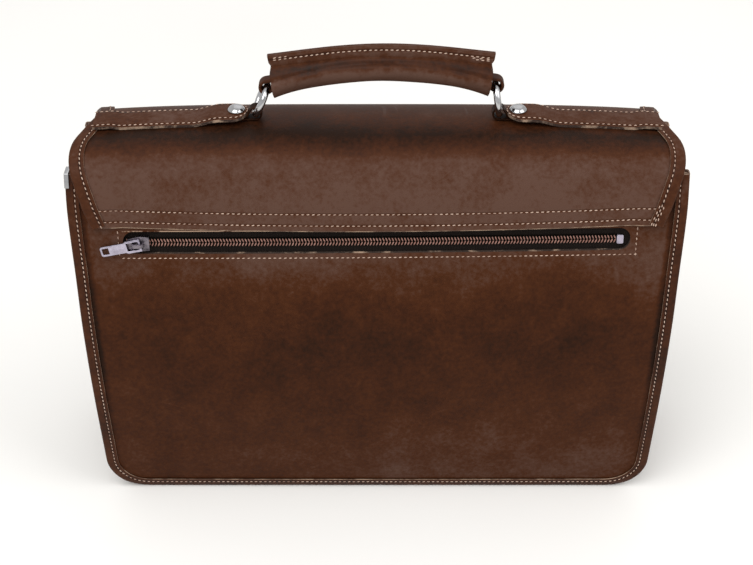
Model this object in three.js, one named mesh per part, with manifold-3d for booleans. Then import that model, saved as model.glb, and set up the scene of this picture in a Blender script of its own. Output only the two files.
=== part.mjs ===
// A leather document case with a flap, a carrying handle and a zip pocket on its back.
// Millimetres, +Z up. The back with the zip pocket faces -Y, and the flap closes over the front at +Y.
// The origin is the middle of the case's footprint, on the surface that it stands on.
import * as THREE from "three";
import Module from "manifold-3d";
import { mergeVertices } from "three/addons/utils/BufferGeometryUtils.js";

// Body
const BOTTOM_WIDTH = 391;
const TOP_WIDTH = 403;
const DEPTH = 100;
const PANEL_HEIGHT = 262;
const CORNER_RADIUS = 28;
const SIDE_BOW = 9.8;
const PANEL_BELLY = 4.5;
const SIDE_FOLD = 24;
const BASE_SAG = 5;
const GUSSET_DROP = 8;

// Leather walls and the clearance between two pieces that lie on each other
const PANEL_WALL = 2;
const GUSSET_WALL = 1.6;
const BINDING_WALL = 1;
const FLAP_WALL = 2;
const STRAP_WALL = 2.5;
const GRIP_WALL = 1.6;
const CLEARANCE = 0.3;
const SOFT_CLEARANCE = 0.5;

// Edge strips
const BINDING_WIDTH = 7;
const FLAP_BINDING_WIDTH = 8.5;

// Flap: its crest and its tail are given from the panels' top
const FLAP_INSET = 3.6;
const CREST_RISE = 19;
const TAIL_DROP = 36.5;
const TAIL_SLOPE = 0.005;
const TAIL_SAG = 4.5;
const SEWN_BAND = 13;
const FRONT_EDGE_HEIGHT = 95;
const FLAP_CORNER_RADIUS = 40;
const FLAP_LIFT = 1.6;
const EDGE_LIFT = 2;
const CREST_DROOP = 5.5;

// Zip pocket, given from the panels' top
const WINDOW_MARGIN = 34.5;
const WINDOW_HEIGHT = 16;
const WINDOW_X = -0.5;
const ZIP_DROP = 43.7;
const ZIP_SLOPE = 0.009;
const TAPE_WALL = 0.8;
const TAPE_MARGIN = 4;
const COIL_WIDTH = 6.5;
const COIL_THICKNESS = 2.2;
const STOP_LENGTH = 4.5;
const SLIDER_LENGTH = 14.5;
const SLIDER_WIDTH = 10.5;
const SLIDER_PLATE = 1.4;
const BRIDGE_LENGTH = 8;
const BRIDGE_WIDTH = 2.4;
const BRIDGE_BAR = 1.4;
const PULL_LENGTH = 27;
const PULL_WIDTH = 7.2;
const PULL_HEAD_WIDTH = 9;
const HINGE_BAR = 1.6;
const PULL_WALL = 1.5;
const PULL_EYE = 4.4;
const PULL_TIP = 1.3;
const PULL_TURN = THREE.MathUtils.degToRad(12.6);

// Crest straps, rivets and rings
const STRAP_WIDTH = 20.5;
const RING_X = 80.4;
const RIVET_X = 93;
const RIVET_DIAMETER = 11.5;
const RIVET_DOME = 3.2;
const TAB_WALL = 1.4;
const TAB_WIDTH = 8;
const TAB_TAIL = 21;
const RING_WIRE = 4.6;
const RING_DIAMETER = 21;
const LEFT_RING_TILT = THREE.MathUtils.degToRad(24);
const RIGHT_RING_TILT = THREE.MathUtils.degToRad(9);

// Handle
const GRIP_SETBACK = 3.5;
const GRIP_RADIUS = 8.5;
const GRIP_FLARE = 2.3;
const GRIP_ARCH = 9;
const GRIP_RISE = 3.4;
const FIN_HEIGHT = 8.2;
const FIN_SLIT = 0.4;
const CORE_WIDTH = 11.6;
const EYE_WIDTH = 8;
const CORE_THICKNESS = 4.4;
const EYE_WALL = 2.4;

// Metal trims
const CLIP_WALL = 1;
const CLIP_HEIGHT = 9;
const CLASP_WIDTH = 38;
const CLASP_HEIGHT = 30;
const CLASP_THICKNESS = 3;
const CLASP_CORNER = 8;

// Side view of a panel, upwards: shares of PANEL_HEIGHT, of SIDE_BOW and of PANEL_BELLY,
// and how deep the side folds in, as a share of SIDE_FOLD
const PANEL_ROWS = [
  { at: 0, bow: 0, belly: 0, fold: 0 },
  { at: 0.03, bow: 0.27, belly: 0.1, fold: 0 },
  { at: 0.17, bow: 0.64, belly: 0.6, fold: 0.05 },
  { at: 0.38, bow: 1, belly: 1, fold: 0.35 },
  { at: 0.58, bow: 0.93, belly: 0.95, fold: 0.6 },
  { at: 0.73, bow: 0.44, belly: 0.6, fold: 0.8 },
  { at: 0.91, bow: -0.17, belly: 0.35, fold: 0.95 },
  { at: 1, bow: -1.15, belly: 0.3, fold: 1 },
];

// The flap's arch from its shoulder to the crest: shares of the shoulder's depth and of the arch's rise
const ARCH_ROWS = [
  { y: 1, z: 0 },
  { y: 0.965, z: 0.14 },
  { y: 0.91, z: 0.28 },
  { y: 0.83, z: 0.44 },
  { y: 0.73, z: 0.6 },
  { y: 0.6, z: 0.755 },
  { y: 0.45, z: 0.87 },
  { y: 0.3, z: 0.945 },
  { y: 0.15, z: 0.987 },
  { y: 0, z: 1 },
];

// The flap's half width from its tail to its front edge: shares of its length and of half of FLAP_WIDTH
const FLAP_WIDTH_ROWS = [
  { at: 0, half: 0.937 },
  { at: 0.06, half: 0.968 },
  { at: 0.14, half: 1 },
  { at: 0.21, half: 1 },
  { at: 0.265, half: 0.972 },
  { at: 0.335, half: 0.94 },
  { at: 0.4, half: 0.955 },
  { at: 0.47, half: 0.985 },
  { at: 0.7, half: 0.985 },
  { at: 1, half: 0.975 },
];

const wasm = await Module();
wasm.setup();

const LEATHER = leather(0x4a2c1e);
const EDGE_LEATHER = leather(0x3f2418);
const STEEL = new THREE.MeshStandardMaterial({ color: 0xc9c8c6, roughness: 0.22, metalness: 1 });
const ZIP_BLACK = new THREE.MeshStandardMaterial({ color: 0x1d1815, roughness: 0.45, metalness: 0 });

function leather(color) {
  return new THREE.MeshStandardMaterial({ color, roughness: 0.6, metalness: 0 });
}

// A smooth curve through one column of a table, read at a place between its first and last row
function along(rows, key, at) {
  const place = THREE.MathUtils.clamp(at, rows[0].at, rows[rows.length - 1].at);
  const next = Math.max(1, rows.findIndex((row) => row.at >= place));
  const step = (a, b) => (rows[b][key] - rows[a][key]) / (rows[b].at - rows[a].at);
  const slope = (k) => step(Math.max(0, k - 1), Math.min(rows.length - 1, k + 1));
  const from = rows[next - 1];
  const to = rows[next];
  const span = to.at - from.at;
  const t = (place - from.at) / span;
  const rise = (3 - 2 * t) * t * t;
  const curl = slope(next - 1) * t * (1 - t) ** 2 - slope(next) * (1 - t) * t * t;
  return THREE.MathUtils.lerp(from[key], to[key], rise) + curl * span;
}

// Triangles round shared points, turned so that they face out
function closedSolid(points, faces) {
  const volume = faces.reduce((sum, _, k) => {
    if (k % 3) return sum;
    const [a, b, c] = [points[faces[k]], points[faces[k + 1]], points[faces[k + 2]]];
    return sum + a.dot(new THREE.Vector3().crossVectors(b, c));
  }, 0);
  const geometry = new THREE.BufferGeometry().setFromPoints(points);
  geometry.setIndex(volume < 0 ? faces.slice().reverse() : faces);
  geometry.computeVertexNormals();
  return geometry;
}

// A sheet of leather or cloth between two grids of points of the same size
function sheet(outer, inner) {
  const rows = outer.length;
  const columns = outer[0].length;
  const points = [...outer.flat(), ...inner.flat()];
  const faces = [];
  const quad = (a, b, c, d) => faces.push(a, b, c, a, c, d);
  const front = (row, column) => row * columns + column;
  const back = (row, column) => rows * columns + front(row, column);
  for (let row = 0; row < rows - 1; row++)
    for (let column = 0; column < columns - 1; column++) {
      const next = column + 1;
      quad(front(row, column), front(row, next), front(row + 1, next), front(row + 1, column));
      quad(back(row + 1, column), back(row + 1, next), back(row, next), back(row, column));
    }
  const lastRow = rows - 1;
  const lastColumn = columns - 1;
  for (let column = 0; column < lastColumn; column++) {
    const next = column + 1;
    quad(front(0, next), front(0, column), back(0, column), back(0, next));
    quad(front(lastRow, column), front(lastRow, next), back(lastRow, next), back(lastRow, column));
  }
  for (let row = 0; row < lastRow; row++) {
    const next = row + 1;
    quad(front(row, 0), front(next, 0), back(next, 0), back(row, 0));
    quad(front(next, lastColumn), front(row, lastColumn), back(row, lastColumn), back(next, lastColumn));
  }
  return closedSolid(points, faces);
}

// A bar that follows closed rings of points: round itself, or with a flat lid at each end
function bar(rings, closed) {
  const sides = rings[0].length;
  const points = rings.flat();
  const faces = [];
  const spans = closed ? rings.length : rings.length - 1;
  for (let span = 0; span < spans; span++)
    for (let side = 0; side < sides; side++) {
      const a = span * sides + side;
      const b = span * sides + ((side + 1) % sides);
      const c = (((span + 1) % rings.length) * sides) + ((side + 1) % sides);
      const d = (((span + 1) % rings.length) * sides) + side;
      faces.push(a, b, c, a, c, d);
    }
  if (!closed)
    for (let side = 1; side < sides - 1; side++) {
      const last = (rings.length - 1) * sides;
      faces.push(0, side + 1, side, last, last + side, last + side + 1);
    }
  return closedSolid(points, faces);
}

function toManifold(geometry) {
  const bare = geometry.clone();
  bare.deleteAttribute("normal");
  bare.deleteAttribute("uv");
  const merged = mergeVertices(bare, 1e-4);
  return new wasm.Manifold(
    new wasm.Mesh({
      numProp: 3,
      vertProperties: merged.attributes.position.array,
      triVerts: new Uint32Array(merged.index.array),
    }),
  );
}

function fromManifold(solid) {
  const mesh = solid.getMesh();
  const geometry = new THREE.BufferGeometry();
  geometry.setAttribute("position", new THREE.BufferAttribute(mesh.vertProperties, 3));
  geometry.setIndex(new THREE.BufferAttribute(mesh.triVerts, 1));
  geometry.computeVertexNormals();
  return geometry;
}

function cut(geometry, tools) {
  const left = tools.reduce((solid, tool) => solid.subtract(toManifold(tool)), toManifold(geometry));
  return fromManifold(left);
}

function join(geometries) {
  return fromManifold(geometries.map(toManifold).reduce((whole, piece) => whole.add(piece)));
}

function roundedRectangle(width, height, radius) {
  const x = width / 2;
  const y = height / 2;
  const shape = new THREE.Shape();
  shape.moveTo(x - radius, y);
  shape.absarc(-x + radius, y - radius, radius, Math.PI / 2, Math.PI);
  shape.absarc(-x + radius, -y + radius, radius, Math.PI, Math.PI * 1.5);
  shape.absarc(x - radius, -y + radius, radius, -Math.PI / 2, 0);
  shape.absarc(x - radius, y - radius, radius, 0, Math.PI / 2);
  return shape;
}

function plate(shape, depth, curveSegments = 6) {
  return new THREE.ExtrudeGeometry(shape, { depth, bevelEnabled: false, curveSegments });
}

// A plate drawn as seen along +Y, that is in X and Z, from y up to y + depth
function uprightPlate(shape, y, depth, curveSegments) {
  return plate(shape, depth, curveSegments)
    .rotateX(Math.PI / 2)
    .translate(0, y + depth, 0);
}

// Panels

const FLOOR_EDGE = SOFT_CLEARANCE + BINDING_WALL;
const SEAM_STACK = PANEL_WALL + CLEARANCE + GUSSET_WALL;
const GUSSET_INSET = BINDING_WIDTH + 2 * CLEARANCE;
const PANEL_TOP = FLOOR_EDGE + PANEL_HEIGHT;
const GUSSET_TOP = PANEL_TOP - GUSSET_DROP;

function heightShare(z) {
  return (z - FLOOR_EDGE) / PANEL_HEIGHT;
}

function panelHalf(z) {
  const straight = THREE.MathUtils.lerp(BOTTOM_WIDTH, TOP_WIDTH, heightShare(z)) / 2;
  const below = Math.max(0, FLOOR_EDGE + CORNER_RADIUS - z);
  return straight - CORNER_RADIUS + Math.sqrt(Math.max(0, CORNER_RADIUS ** 2 - below ** 2));
}

function belly(z) {
  return PANEL_BELLY * along(PANEL_ROWS, "belly", heightShare(z));
}

// How far a panel's outer face stands from the middle plane of the case
function panelDepth(x, z) {
  const across = Math.min(1, Math.abs(x) / panelHalf(Math.max(z, FLOOR_EDGE)));
  const bow = SIDE_BOW * along(PANEL_ROWS, "bow", heightShare(z));
  return DEPTH / 2 + bow + belly(z) * (1 - across ** 2);
}

// Rows of a panel, from the floor: the round corners, then the straight sides up to the gusset's top,
// closer together where the sides bend inwards, and last the panel's top edge
const CORNER_STEPS = 5;
const SIDE_SHARES = [0, 0.14, 0.28, 0.42, 0.54, 0.65, 0.74, 0.81, 0.87, 0.92, 0.96, 1];

function cornerHeights() {
  return Array.from({ length: CORNER_STEPS }, (_, k) => {
    const angle = (k / CORNER_STEPS) * (Math.PI / 2);
    return FLOOR_EDGE + CORNER_RADIUS * (1 - Math.cos(angle));
  });
}

function sideHeights() {
  const start = FLOOR_EDGE + CORNER_RADIUS;
  return SIDE_SHARES.map((share) => THREE.MathUtils.lerp(start, GUSSET_TOP, share));
}

// The back panel ends above the gusset, under the flap, and the front one level with it
function seamHeights(side) {
  return side < 0 ? [...sideHeights(), PANEL_TOP] : sideHeights();
}

// Places across a sheet of the given half width: its edge strips, then even steps between them
const ACROSS_STEPS = 10;

function acrossPlaces(half, strip) {
  const middle = Array.from({ length: ACROSS_STEPS + 1 }, (_, k) => {
    return THREE.MathUtils.lerp(-half + strip, half - strip, k / ACROSS_STEPS);
  });
  return [-half, ...middle, half];
}

function panelSheet(side) {
  const face = (inset) =>
    [...cornerHeights(), ...seamHeights(side)].map((z) =>
      acrossPlaces(panelHalf(z), BINDING_WIDTH).map(
        (x) => new THREE.Vector3(x, side * (panelDepth(x, z) - inset), z),
      ),
    );
  return sheet(face(0), face(PANEL_WALL));
}

const WINDOW_LENGTH = TOP_WIDTH - 2 * WINDOW_MARGIN;
const ZIP_Z = PANEL_TOP - ZIP_DROP;

function zipWindow() {
  const window = roundedRectangle(WINDOW_LENGTH, WINDOW_HEIGHT, WINDOW_HEIGHT / 2 - 1);
  return uprightPlate(window, -DEPTH, DEPTH)
    .rotateY(-Math.atan(ZIP_SLOPE))
    .translate(WINDOW_X, 0, ZIP_Z);
}

// Seams: stations down one side of the outline, along the bottom and up the other side,
// each with the direction that leads inwards

const BOTTOM_STEPS = 6;

function seamStations(heights) {
  const side = heights.map((z) => ({ x: -panelHalf(z), z, inX: 1, inZ: 0 })).reverse();
  const centre = -panelHalf(FLOOR_EDGE);
  const corner = Array.from({ length: CORNER_STEPS }, (_, k) => {
    const angle = ((k + 1) / CORNER_STEPS) * (Math.PI / 2);
    const z = FLOOR_EDGE + CORNER_RADIUS * (1 - Math.sin(angle));
    return { x: -panelHalf(z), z, inX: Math.cos(angle), inZ: Math.sin(angle) };
  });
  const bottom = Array.from({ length: BOTTOM_STEPS - 1 }, (_, k) => {
    const x = THREE.MathUtils.lerp(centre, -centre, (k + 1) / BOTTOM_STEPS);
    return { x, z: FLOOR_EDGE, inX: 0, inZ: 1 };
  });
  const left = [...side, ...corner];
  const right = left.map((station) => ({ ...station, x: -station.x, inX: -station.inX })).reverse();
  return [...left, ...bottom, ...right];
}

// A point of a seam: w mm inwards from the panel's edge and n mm out from the panel's outer face
function seamPoint(station, side, w, n) {
  const x = station.x + station.inX * w;
  const z = station.z + station.inZ * w;
  const onPanel = Math.max(w, 0);
  const depth = panelDepth(station.x + station.inX * onPanel, station.z + station.inZ * onPanel);
  return new THREE.Vector3(x, side * (depth + n), z);
}

function foldedStrip(stations, place, width, wall, stack) {
  const skin = (gap) => (station) => [
    place(station, width, gap),
    place(station, -gap, gap),
    place(station, -gap, -stack - gap),
    place(station, width, -stack - gap),
  ];
  return sheet(stations.map(skin(SOFT_CLEARANCE + wall)), stations.map(skin(SOFT_CLEARANCE)));
}

function seamBinding(side) {
  const place = (station, w, n) => seamPoint(station, side, w, n);
  const stations = seamStations(seamHeights(side));
  return foldedStrip(stations, place, BINDING_WIDTH, BINDING_WALL, SEAM_STACK);
}

function gusset() {
  const skin = (inner) => (station) => {
    const fold = SIDE_FOLD * along(PANEL_ROWS, "fold", heightShare(station.z)) - BASE_SAG * station.inZ;
    const flange = -PANEL_WALL - CLEARANCE - (inner ? 0 : GUSSET_WALL);
    const wall = GUSSET_INSET + (inner ? GUSSET_WALL : 0);
    const half = (side) => {
      const bend = seamPoint(station, side, wall, flange);
      const deep = seamPoint(station, side, wall + fold, flange);
      return [seamPoint(station, side, 0, flange), bend, bend.clone().lerp(deep, 0.5).setY(bend.y / 2)];
    };
    const middle = seamPoint(station, -1, wall + fold, flange).setY(0);
    return [...half(-1), middle, ...half(1).reverse()];
  };
  const stations = seamStations(sideHeights());
  return sheet(stations.map(skin(false)), stations.map(skin(true)));
}

// Flap: its outline in side view from the tail on the back, over the crest, to the front edge

const BACK_FLAP_STEPS = 4;
const FRONT_FLAP_STEPS = 7;
const FLAP_CORNER_STEPS = 4;
const FLAP_WIDTH = TOP_WIDTH - 2 * FLAP_INSET;
const SHOULDER_Z = PANEL_TOP;
const CREST_HEIGHT = SHOULDER_Z + CREST_RISE;
const TAIL_HEIGHT = SHOULDER_Z - TAIL_DROP;
const FLAP_REST = CLEARANCE + FLAP_WALL;
const FRONT_REST = FLAP_REST + FLAP_LIFT + EDGE_LIFT;
const SHOULDER_Y = panelDepth(0, SHOULDER_Z) + FLAP_REST + FLAP_LIFT;

function flapProfile() {
  const lift = (z) => FLAP_LIFT * THREE.MathUtils.smoothstep(z, TAIL_HEIGHT + SEWN_BAND, SHOULDER_Z - SEWN_BAND);
  const back = Array.from({ length: BACK_FLAP_STEPS }, (_, k) => {
    const z = THREE.MathUtils.lerp(TAIL_HEIGHT, SHOULDER_Z, k / BACK_FLAP_STEPS);
    return { y: -panelDepth(0, z) - FLAP_REST - lift(z), z };
  });
  const arch = (y) => ARCH_ROWS.map((row) => ({ y: y * row.y, z: SHOULDER_Z + CREST_RISE * row.z }));
  const cornerTop = FRONT_EDGE_HEIGHT + FLAP_CORNER_RADIUS;
  const straight = Array.from({ length: FRONT_FLAP_STEPS }, (_, k) => {
    return THREE.MathUtils.lerp(SHOULDER_Z, cornerTop, (k + 1) / FRONT_FLAP_STEPS);
  });
  const corner = Array.from({ length: FLAP_CORNER_STEPS }, (_, k) => {
    const angle = ((k + 1) / FLAP_CORNER_STEPS) * (Math.PI / 2);
    return cornerTop - FLAP_CORNER_RADIUS * Math.sin(angle);
  });
  const front = [...straight, ...corner].map((z) => ({ y: panelDepth(0, z) + FRONT_REST, z }));
  const points = [...back, ...arch(-SHOULDER_Y), ...arch(SHOULDER_Y + EDGE_LIFT).reverse().slice(1), ...front];
  let length = 0;
  const rows = points.map((point, k) => {
    const before = points[Math.max(0, k - 1)];
    const after = points[Math.min(points.length - 1, k + 1)];
    const slope = new THREE.Vector2(after.y - before.y, after.z - before.z).normalize();
    length += k ? Math.hypot(point.y - before.y, point.z - before.z) : 0;
    return { ...point, at: length, outY: -slope.y, outZ: slope.x };
  });
  return { rows, length };
}

const FLAP = flapProfile();
const CREST_AT = FLAP.rows.reduce((best, row) => (row.z > best.z ? row : best)).at;

function flapHalf(at) {
  const straight = (FLAP_WIDTH / 2) * along(FLAP_WIDTH_ROWS, "half", at / FLAP.length);
  const below = Math.max(0, at - (FLAP.length - FLAP_CORNER_RADIUS));
  return straight - FLAP_CORNER_RADIUS + Math.sqrt(Math.max(0, FLAP_CORNER_RADIUS ** 2 - below ** 2));
}

// A point of the flap: x across, `at` mm from the tail along it, and n mm out from its outer face
function flapPoint(x, at, n) {
  const across = Math.abs(x) / (FLAP_WIDTH / 2);
  const skew = TAIL_SLOPE * (x + FLAP_WIDTH / 2) + TAIL_SAG * across ** 2;
  const sewn = 1 - THREE.MathUtils.smoothstep(at, 0, CREST_AT);
  const place = THREE.MathUtils.clamp(at + skew * sewn, 0, FLAP.length);
  const next = Math.max(1, FLAP.rows.findIndex((row) => row.at >= place - 1e-9));
  const from = FLAP.rows[next - 1];
  const to = FLAP.rows[next];
  const t = (place - from.at) / (to.at - from.at);
  const read = (key) => THREE.MathUtils.lerp(from[key], to[key], t);
  const rise = Math.max(0, (read("z") - SHOULDER_Z) / CREST_RISE);
  const level = 1 - rise;
  const edge = Math.abs(x) - flapHalf(at);
  const sideLift = EDGE_LIFT * THREE.MathUtils.smoothstep(edge, -2.5 * FLAP_BINDING_WIDTH, -FLAP_BINDING_WIDTH);
  const lift = at < CREST_AT ? sideLift : 0;
  const out = n + (lift - belly(read("z")) * across ** 2) * level;
  const droop = CREST_DROOP * across ** 4 * (at < CREST_AT ? rise ** 2 : Math.sqrt(rise));
  return new THREE.Vector3(x, read("y") + read("outY") * out, read("z") + read("outZ") * out - droop);
}

function flap() {
  const places = (half) => {
    const strip = FLAP_BINDING_WIDTH;
    const inner = acrossPlaces(half - strip, 1.5 * strip);
    return [-half, ...inner, half];
  };
  const face = (n) => FLAP.rows.map((row) => places(flapHalf(row.at)).map((x) => flapPoint(x, row.at, n)));
  return sheet(face(0), face(-FLAP_WALL));
}

// The folded strip round the flap: up its left edge, over, down, along the front edge and back
function flapBinding() {
  const edge = FLAP.rows.map((row) => ({ x: -flapHalf(row.at), at: row.at }));
  const last = edge[edge.length - 1];
  const front = Array.from({ length: BOTTOM_STEPS - 1 }, (_, k) => {
    return { x: THREE.MathUtils.lerp(last.x, -last.x, (k + 1) / BOTTOM_STEPS), at: FLAP.length };
  });
  const mirrored = edge.map(({ x, at }) => ({ x: -x, at })).reverse();
  const line = [...edge, ...front, ...mirrored];
  const stations = line.map((station, k) => {
    const before = line[Math.max(0, k - 1)];
    const after = line[Math.min(line.length - 1, k + 1)];
    const slope = new THREE.Vector2(after.x - before.x, after.at - before.at).normalize();
    return { ...station, inX: slope.y, inAt: -slope.x };
  });
  const place = ({ x, at, inX, inAt }, w, n) => {
    const point = flapPoint(x + inX * Math.max(w, 0), at + inAt * Math.max(w, 0), n);
    if (w >= 0) return point;
    const inward = flapPoint(x + inX, at + inAt, n).sub(point);
    return point.addScaledVector(inward, w);
  };
  return foldedStrip(stations, place, FLAP_BINDING_WIDTH, BINDING_WALL, FLAP_WALL);
}

// Crest straps, tabs, rivets and rings. side is -1 on the left and 1 on the right

const TAB_THICKNESS = 2 * TAB_WALL;
const CREST_CURVE = TAB_WIDTH ** 2 / DEPTH;
const STRAP_OUTER_END = flapHalf(CREST_AT) - 3;
const TAB_RAISE = TAB_THICKNESS + CLEARANCE + CREST_CURVE;
const RING_RADIUS = RING_DIAMETER / 2;
const RING_CURVE = RING_RADIUS - Math.sqrt(RING_RADIUS ** 2 - (TAB_WIDTH / 2) ** 2);
const EYE_RADIUS = RING_WIRE / 2 + RING_CURVE + CLEARANCE;
const STRAP_END = RING_X + EYE_RADIUS + TAB_WALL + SOFT_CLEARANCE;
const RING_Z = CREST_HEIGHT + CLEARANCE + EYE_RADIUS + TAB_WALL;

function strapRise(x) {
  const tabEnd = RING_X + TAB_TAIL;
  const edge = flapHalf(CREST_AT) - FLAP_BINDING_WIDTH;
  const overTab = TAB_RAISE * (1 - THREE.MathUtils.smoothstep(x, tabEnd + 2, tabEnd + TAB_TAIL));
  const overEdge = (SOFT_CLEARANCE + BINDING_WALL) * THREE.MathUtils.smoothstep(x, edge - 14, edge - 5);
  return CLEARANCE + overTab + overEdge;
}

function crestStrap(side) {
  const radius = STRAP_WIDTH / 2;
  const round = [15, 35, 60, 90].map((degrees) => {
    const angle = THREE.MathUtils.degToRad(degrees);
    return { x: STRAP_END + radius * (1 - Math.cos(angle)), half: radius * Math.sin(angle) };
  });
  const start = STRAP_END + radius;
  const straight = [0.08, 0.16, 0.24, 0.34, 0.5, 0.7, 0.8, 0.87, 0.94, 1].map((share) => {
    return { x: THREE.MathUtils.lerp(start, STRAP_OUTER_END, share), half: radius };
  });
  const face = (n) =>
    [...round, ...straight].map(({ x, half }) =>
      [-1, -0.5, 0, 0.5, 1].map((share) => flapPoint(side * x, CREST_AT + share * half, n + strapRise(x))),
    );
  return sheet(face(STRAP_WALL), face(0));
}

function disc(radius, depth, x, z) {
  return new THREE.CylinderGeometry(radius, radius, depth, 16).translate(x, 0, z);
}

function ringTab(side) {
  const tail = new THREE.BoxGeometry(TAB_TAIL, TAB_WIDTH, TAB_THICKNESS).translate(
    side * (RING_X + TAB_TAIL / 2),
    0,
    CREST_HEIGHT + CLEARANCE + TAB_THICKNESS / 2,
  );
  const eye = disc(EYE_RADIUS + TAB_WALL, TAB_WIDTH, side * RING_X, RING_Z);
  return cut(join([tail, eye]), [disc(EYE_RADIUS, 2 * TAB_WIDTH, side * RING_X, RING_Z)]);
}

function rivet(side) {
  const radius = RIVET_DIAMETER / 2;
  const profile = [
    [0, 0],
    [radius * 0.92, 0],
    [radius, RIVET_DOME * 0.22],
    [radius * 0.88, RIVET_DOME * 0.6],
    [radius * 0.55, RIVET_DOME * 0.9],
    [0, RIVET_DOME],
  ].map(([r, z]) => new THREE.Vector2(r, z));
  const seat = flapPoint(RIVET_X, CREST_AT, strapRise(RIVET_X) + STRAP_WALL + CLEARANCE);
  const geometry = new THREE.LatheGeometry(profile, 20).rotateX(Math.PI / 2);
  return geometry.translate(side * seat.x, seat.y, seat.z);
}

// A round ring that stands in its tab, tilted towards the handle
function ring(side, tilt) {
  return new THREE.TorusGeometry(RING_RADIUS, RING_WIRE / 2, 8, 24)
    .rotateY(Math.PI / 2)
    .translate(0, 0, RING_RADIUS)
    .rotateY(-side * tilt)
    .translate(side * RING_X, 0, RING_Z);
}

function ringTop(side, tilt) {
  return { x: side * (RING_X - RING_DIAMETER * Math.sin(tilt)), z: RING_Z + RING_DIAMETER * Math.cos(tilt) };
}

// Handle: a sheet folded round a flat core strap, sewn to a fin on top

const LEFT_EYE = ringTop(-1, LEFT_RING_TILT);
const RIGHT_EYE = ringTop(1, RIGHT_RING_TILT);
const GRIP_LEFT = LEFT_EYE.x + GRIP_SETBACK;
const GRIP_RIGHT = RIGHT_EYE.x - GRIP_SETBACK;

// The grip's centre line and radius, for a share from its left end to its right end
function gripPlace(share) {
  const arch = 1 - (2 * share - 1) ** 2;
  return {
    x: THREE.MathUtils.lerp(GRIP_LEFT, GRIP_RIGHT, share),
    z: THREE.MathUtils.lerp(LEFT_EYE.z, RIGHT_EYE.z, share) + GRIP_RISE + GRIP_ARCH * arch,
    radius: GRIP_RADIUS + GRIP_FLARE * (2 * share - 1) ** 4,
  };
}

const GRIP_STEPS = 12;
const GRIP_ROUND_STEPS = 12;

function gripSection(share, outer) {
  const { x, z, radius } = gripPlace(share);
  const round = outer ? radius : radius - GRIP_WALL;
  const finSide = FIN_SLIT / 2 + (outer ? GRIP_WALL : 0);
  const neck = Math.asin(finSide / round);
  const top = z + radius + FIN_HEIGHT;
  const arc = Array.from({ length: GRIP_ROUND_STEPS + 1 }, (_, k) => {
    const angle = Math.PI / 2 + neck + (k / GRIP_ROUND_STEPS) * (2 * Math.PI - 2 * neck);
    return new THREE.Vector3(x, round * Math.cos(angle), z + round * Math.sin(angle));
  });
  return [new THREE.Vector3(x, -finSide, top), ...arc, new THREE.Vector3(x, finSide, top)];
}

function grip() {
  const sections = (outer) =>
    Array.from({ length: GRIP_STEPS + 1 }, (_, k) => gripSection(k / GRIP_STEPS, outer));
  return sheet(sections(true), sections(false));
}

function handleCore() {
  const places = Array.from({ length: GRIP_STEPS + 1 }, (_, k) => gripPlace(k / GRIP_STEPS));
  const half = CORE_THICKNESS / 2;
  const edge = (offset) => places.map(({ x, z }) => new THREE.Vector2(x, -(z + offset)));
  const shape = new THREE.Shape([...edge(half), ...edge(-half).reverse()]);
  const strap = plate(shape, CORE_WIDTH).rotateX(-Math.PI / 2).translate(0, -CORE_WIDTH / 2, 0);
  const eyes = [LEFT_EYE, RIGHT_EYE];
  const rims = eyes.map((eye) => disc(EYE_RADIUS + EYE_WALL, EYE_WIDTH, eye.x, eye.z));
  const holes = eyes.map((eye) => disc(EYE_RADIUS, 2 * CORE_WIDTH, eye.x, eye.z));
  return cut(join([strap, ...rims]), holes);
}

// Zip

// A point on the back panel: n mm out from its outer face, v mm above the zip's sloping middle line
function zipPoint(x, v, n) {
  const z = ZIP_Z + v + ZIP_SLOPE * (x - WINDOW_X);
  return new THREE.Vector3(x, -panelDepth(x, z) - n, z);
}

const ZIP_STEPS = 12;
const WINDOW_LEFT = WINDOW_X - WINDOW_LENGTH / 2;
const WINDOW_RIGHT = WINDOW_X + WINDOW_LENGTH / 2;
const TAPE_TOP = -PANEL_WALL - CLEARANCE;
const COIL_TOP = TAPE_TOP + CLEARANCE + COIL_THICKNESS;
const PLATE_FLOOR = COIL_TOP + CLEARANCE;
const PLATE_TOP = PLATE_FLOOR + SLIDER_PLATE;
const SLIDER_X = WINDOW_LEFT + SLIDER_LENGTH / 2 + 3;
const HINGE_ROOM = Math.hypot(HINGE_BAR, PULL_WALL) / 2 + CLEARANCE;
const HINGE_N = PLATE_TOP + HINGE_ROOM;

function alongZip(from, to, section) {
  return Array.from({ length: ZIP_STEPS + 1 }, (_, k) => {
    const x = THREE.MathUtils.lerp(from, to, k / ZIP_STEPS);
    return section.map(([v, n]) => zipPoint(x, v, n));
  });
}

function zipTape() {
  const half = WINDOW_HEIGHT / 2 + TAPE_MARGIN;
  const rows = [-1, -0.5, 0, 0.5, 1];
  const section = (n) => rows.map((share) => [share * half, n]);
  const face = (n) => alongZip(WINDOW_LEFT - TAPE_MARGIN, WINDOW_RIGHT + TAPE_MARGIN, section(n));
  return sheet(face(TAPE_TOP), face(TAPE_TOP - TAPE_WALL));
}

function zipCoil() {
  const half = COIL_WIDTH / 2;
  const low = COIL_TOP - COIL_THICKNESS;
  const section = [
    [-half * 0.75, low],
    [half * 0.75, low],
    [half, low + COIL_THICKNESS * 0.3],
    [half, low + COIL_THICKNESS * 0.65],
    [half * 0.7, COIL_TOP],
    [-half * 0.7, COIL_TOP],
    [-half, low + COIL_THICKNESS * 0.65],
    [-half, low + COIL_THICKNESS * 0.3],
  ];
  const end = WINDOW_RIGHT - 2 * STOP_LENGTH - CLEARANCE;
  return bar(alongZip(WINDOW_LEFT + 2, end, section), false);
}

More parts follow.
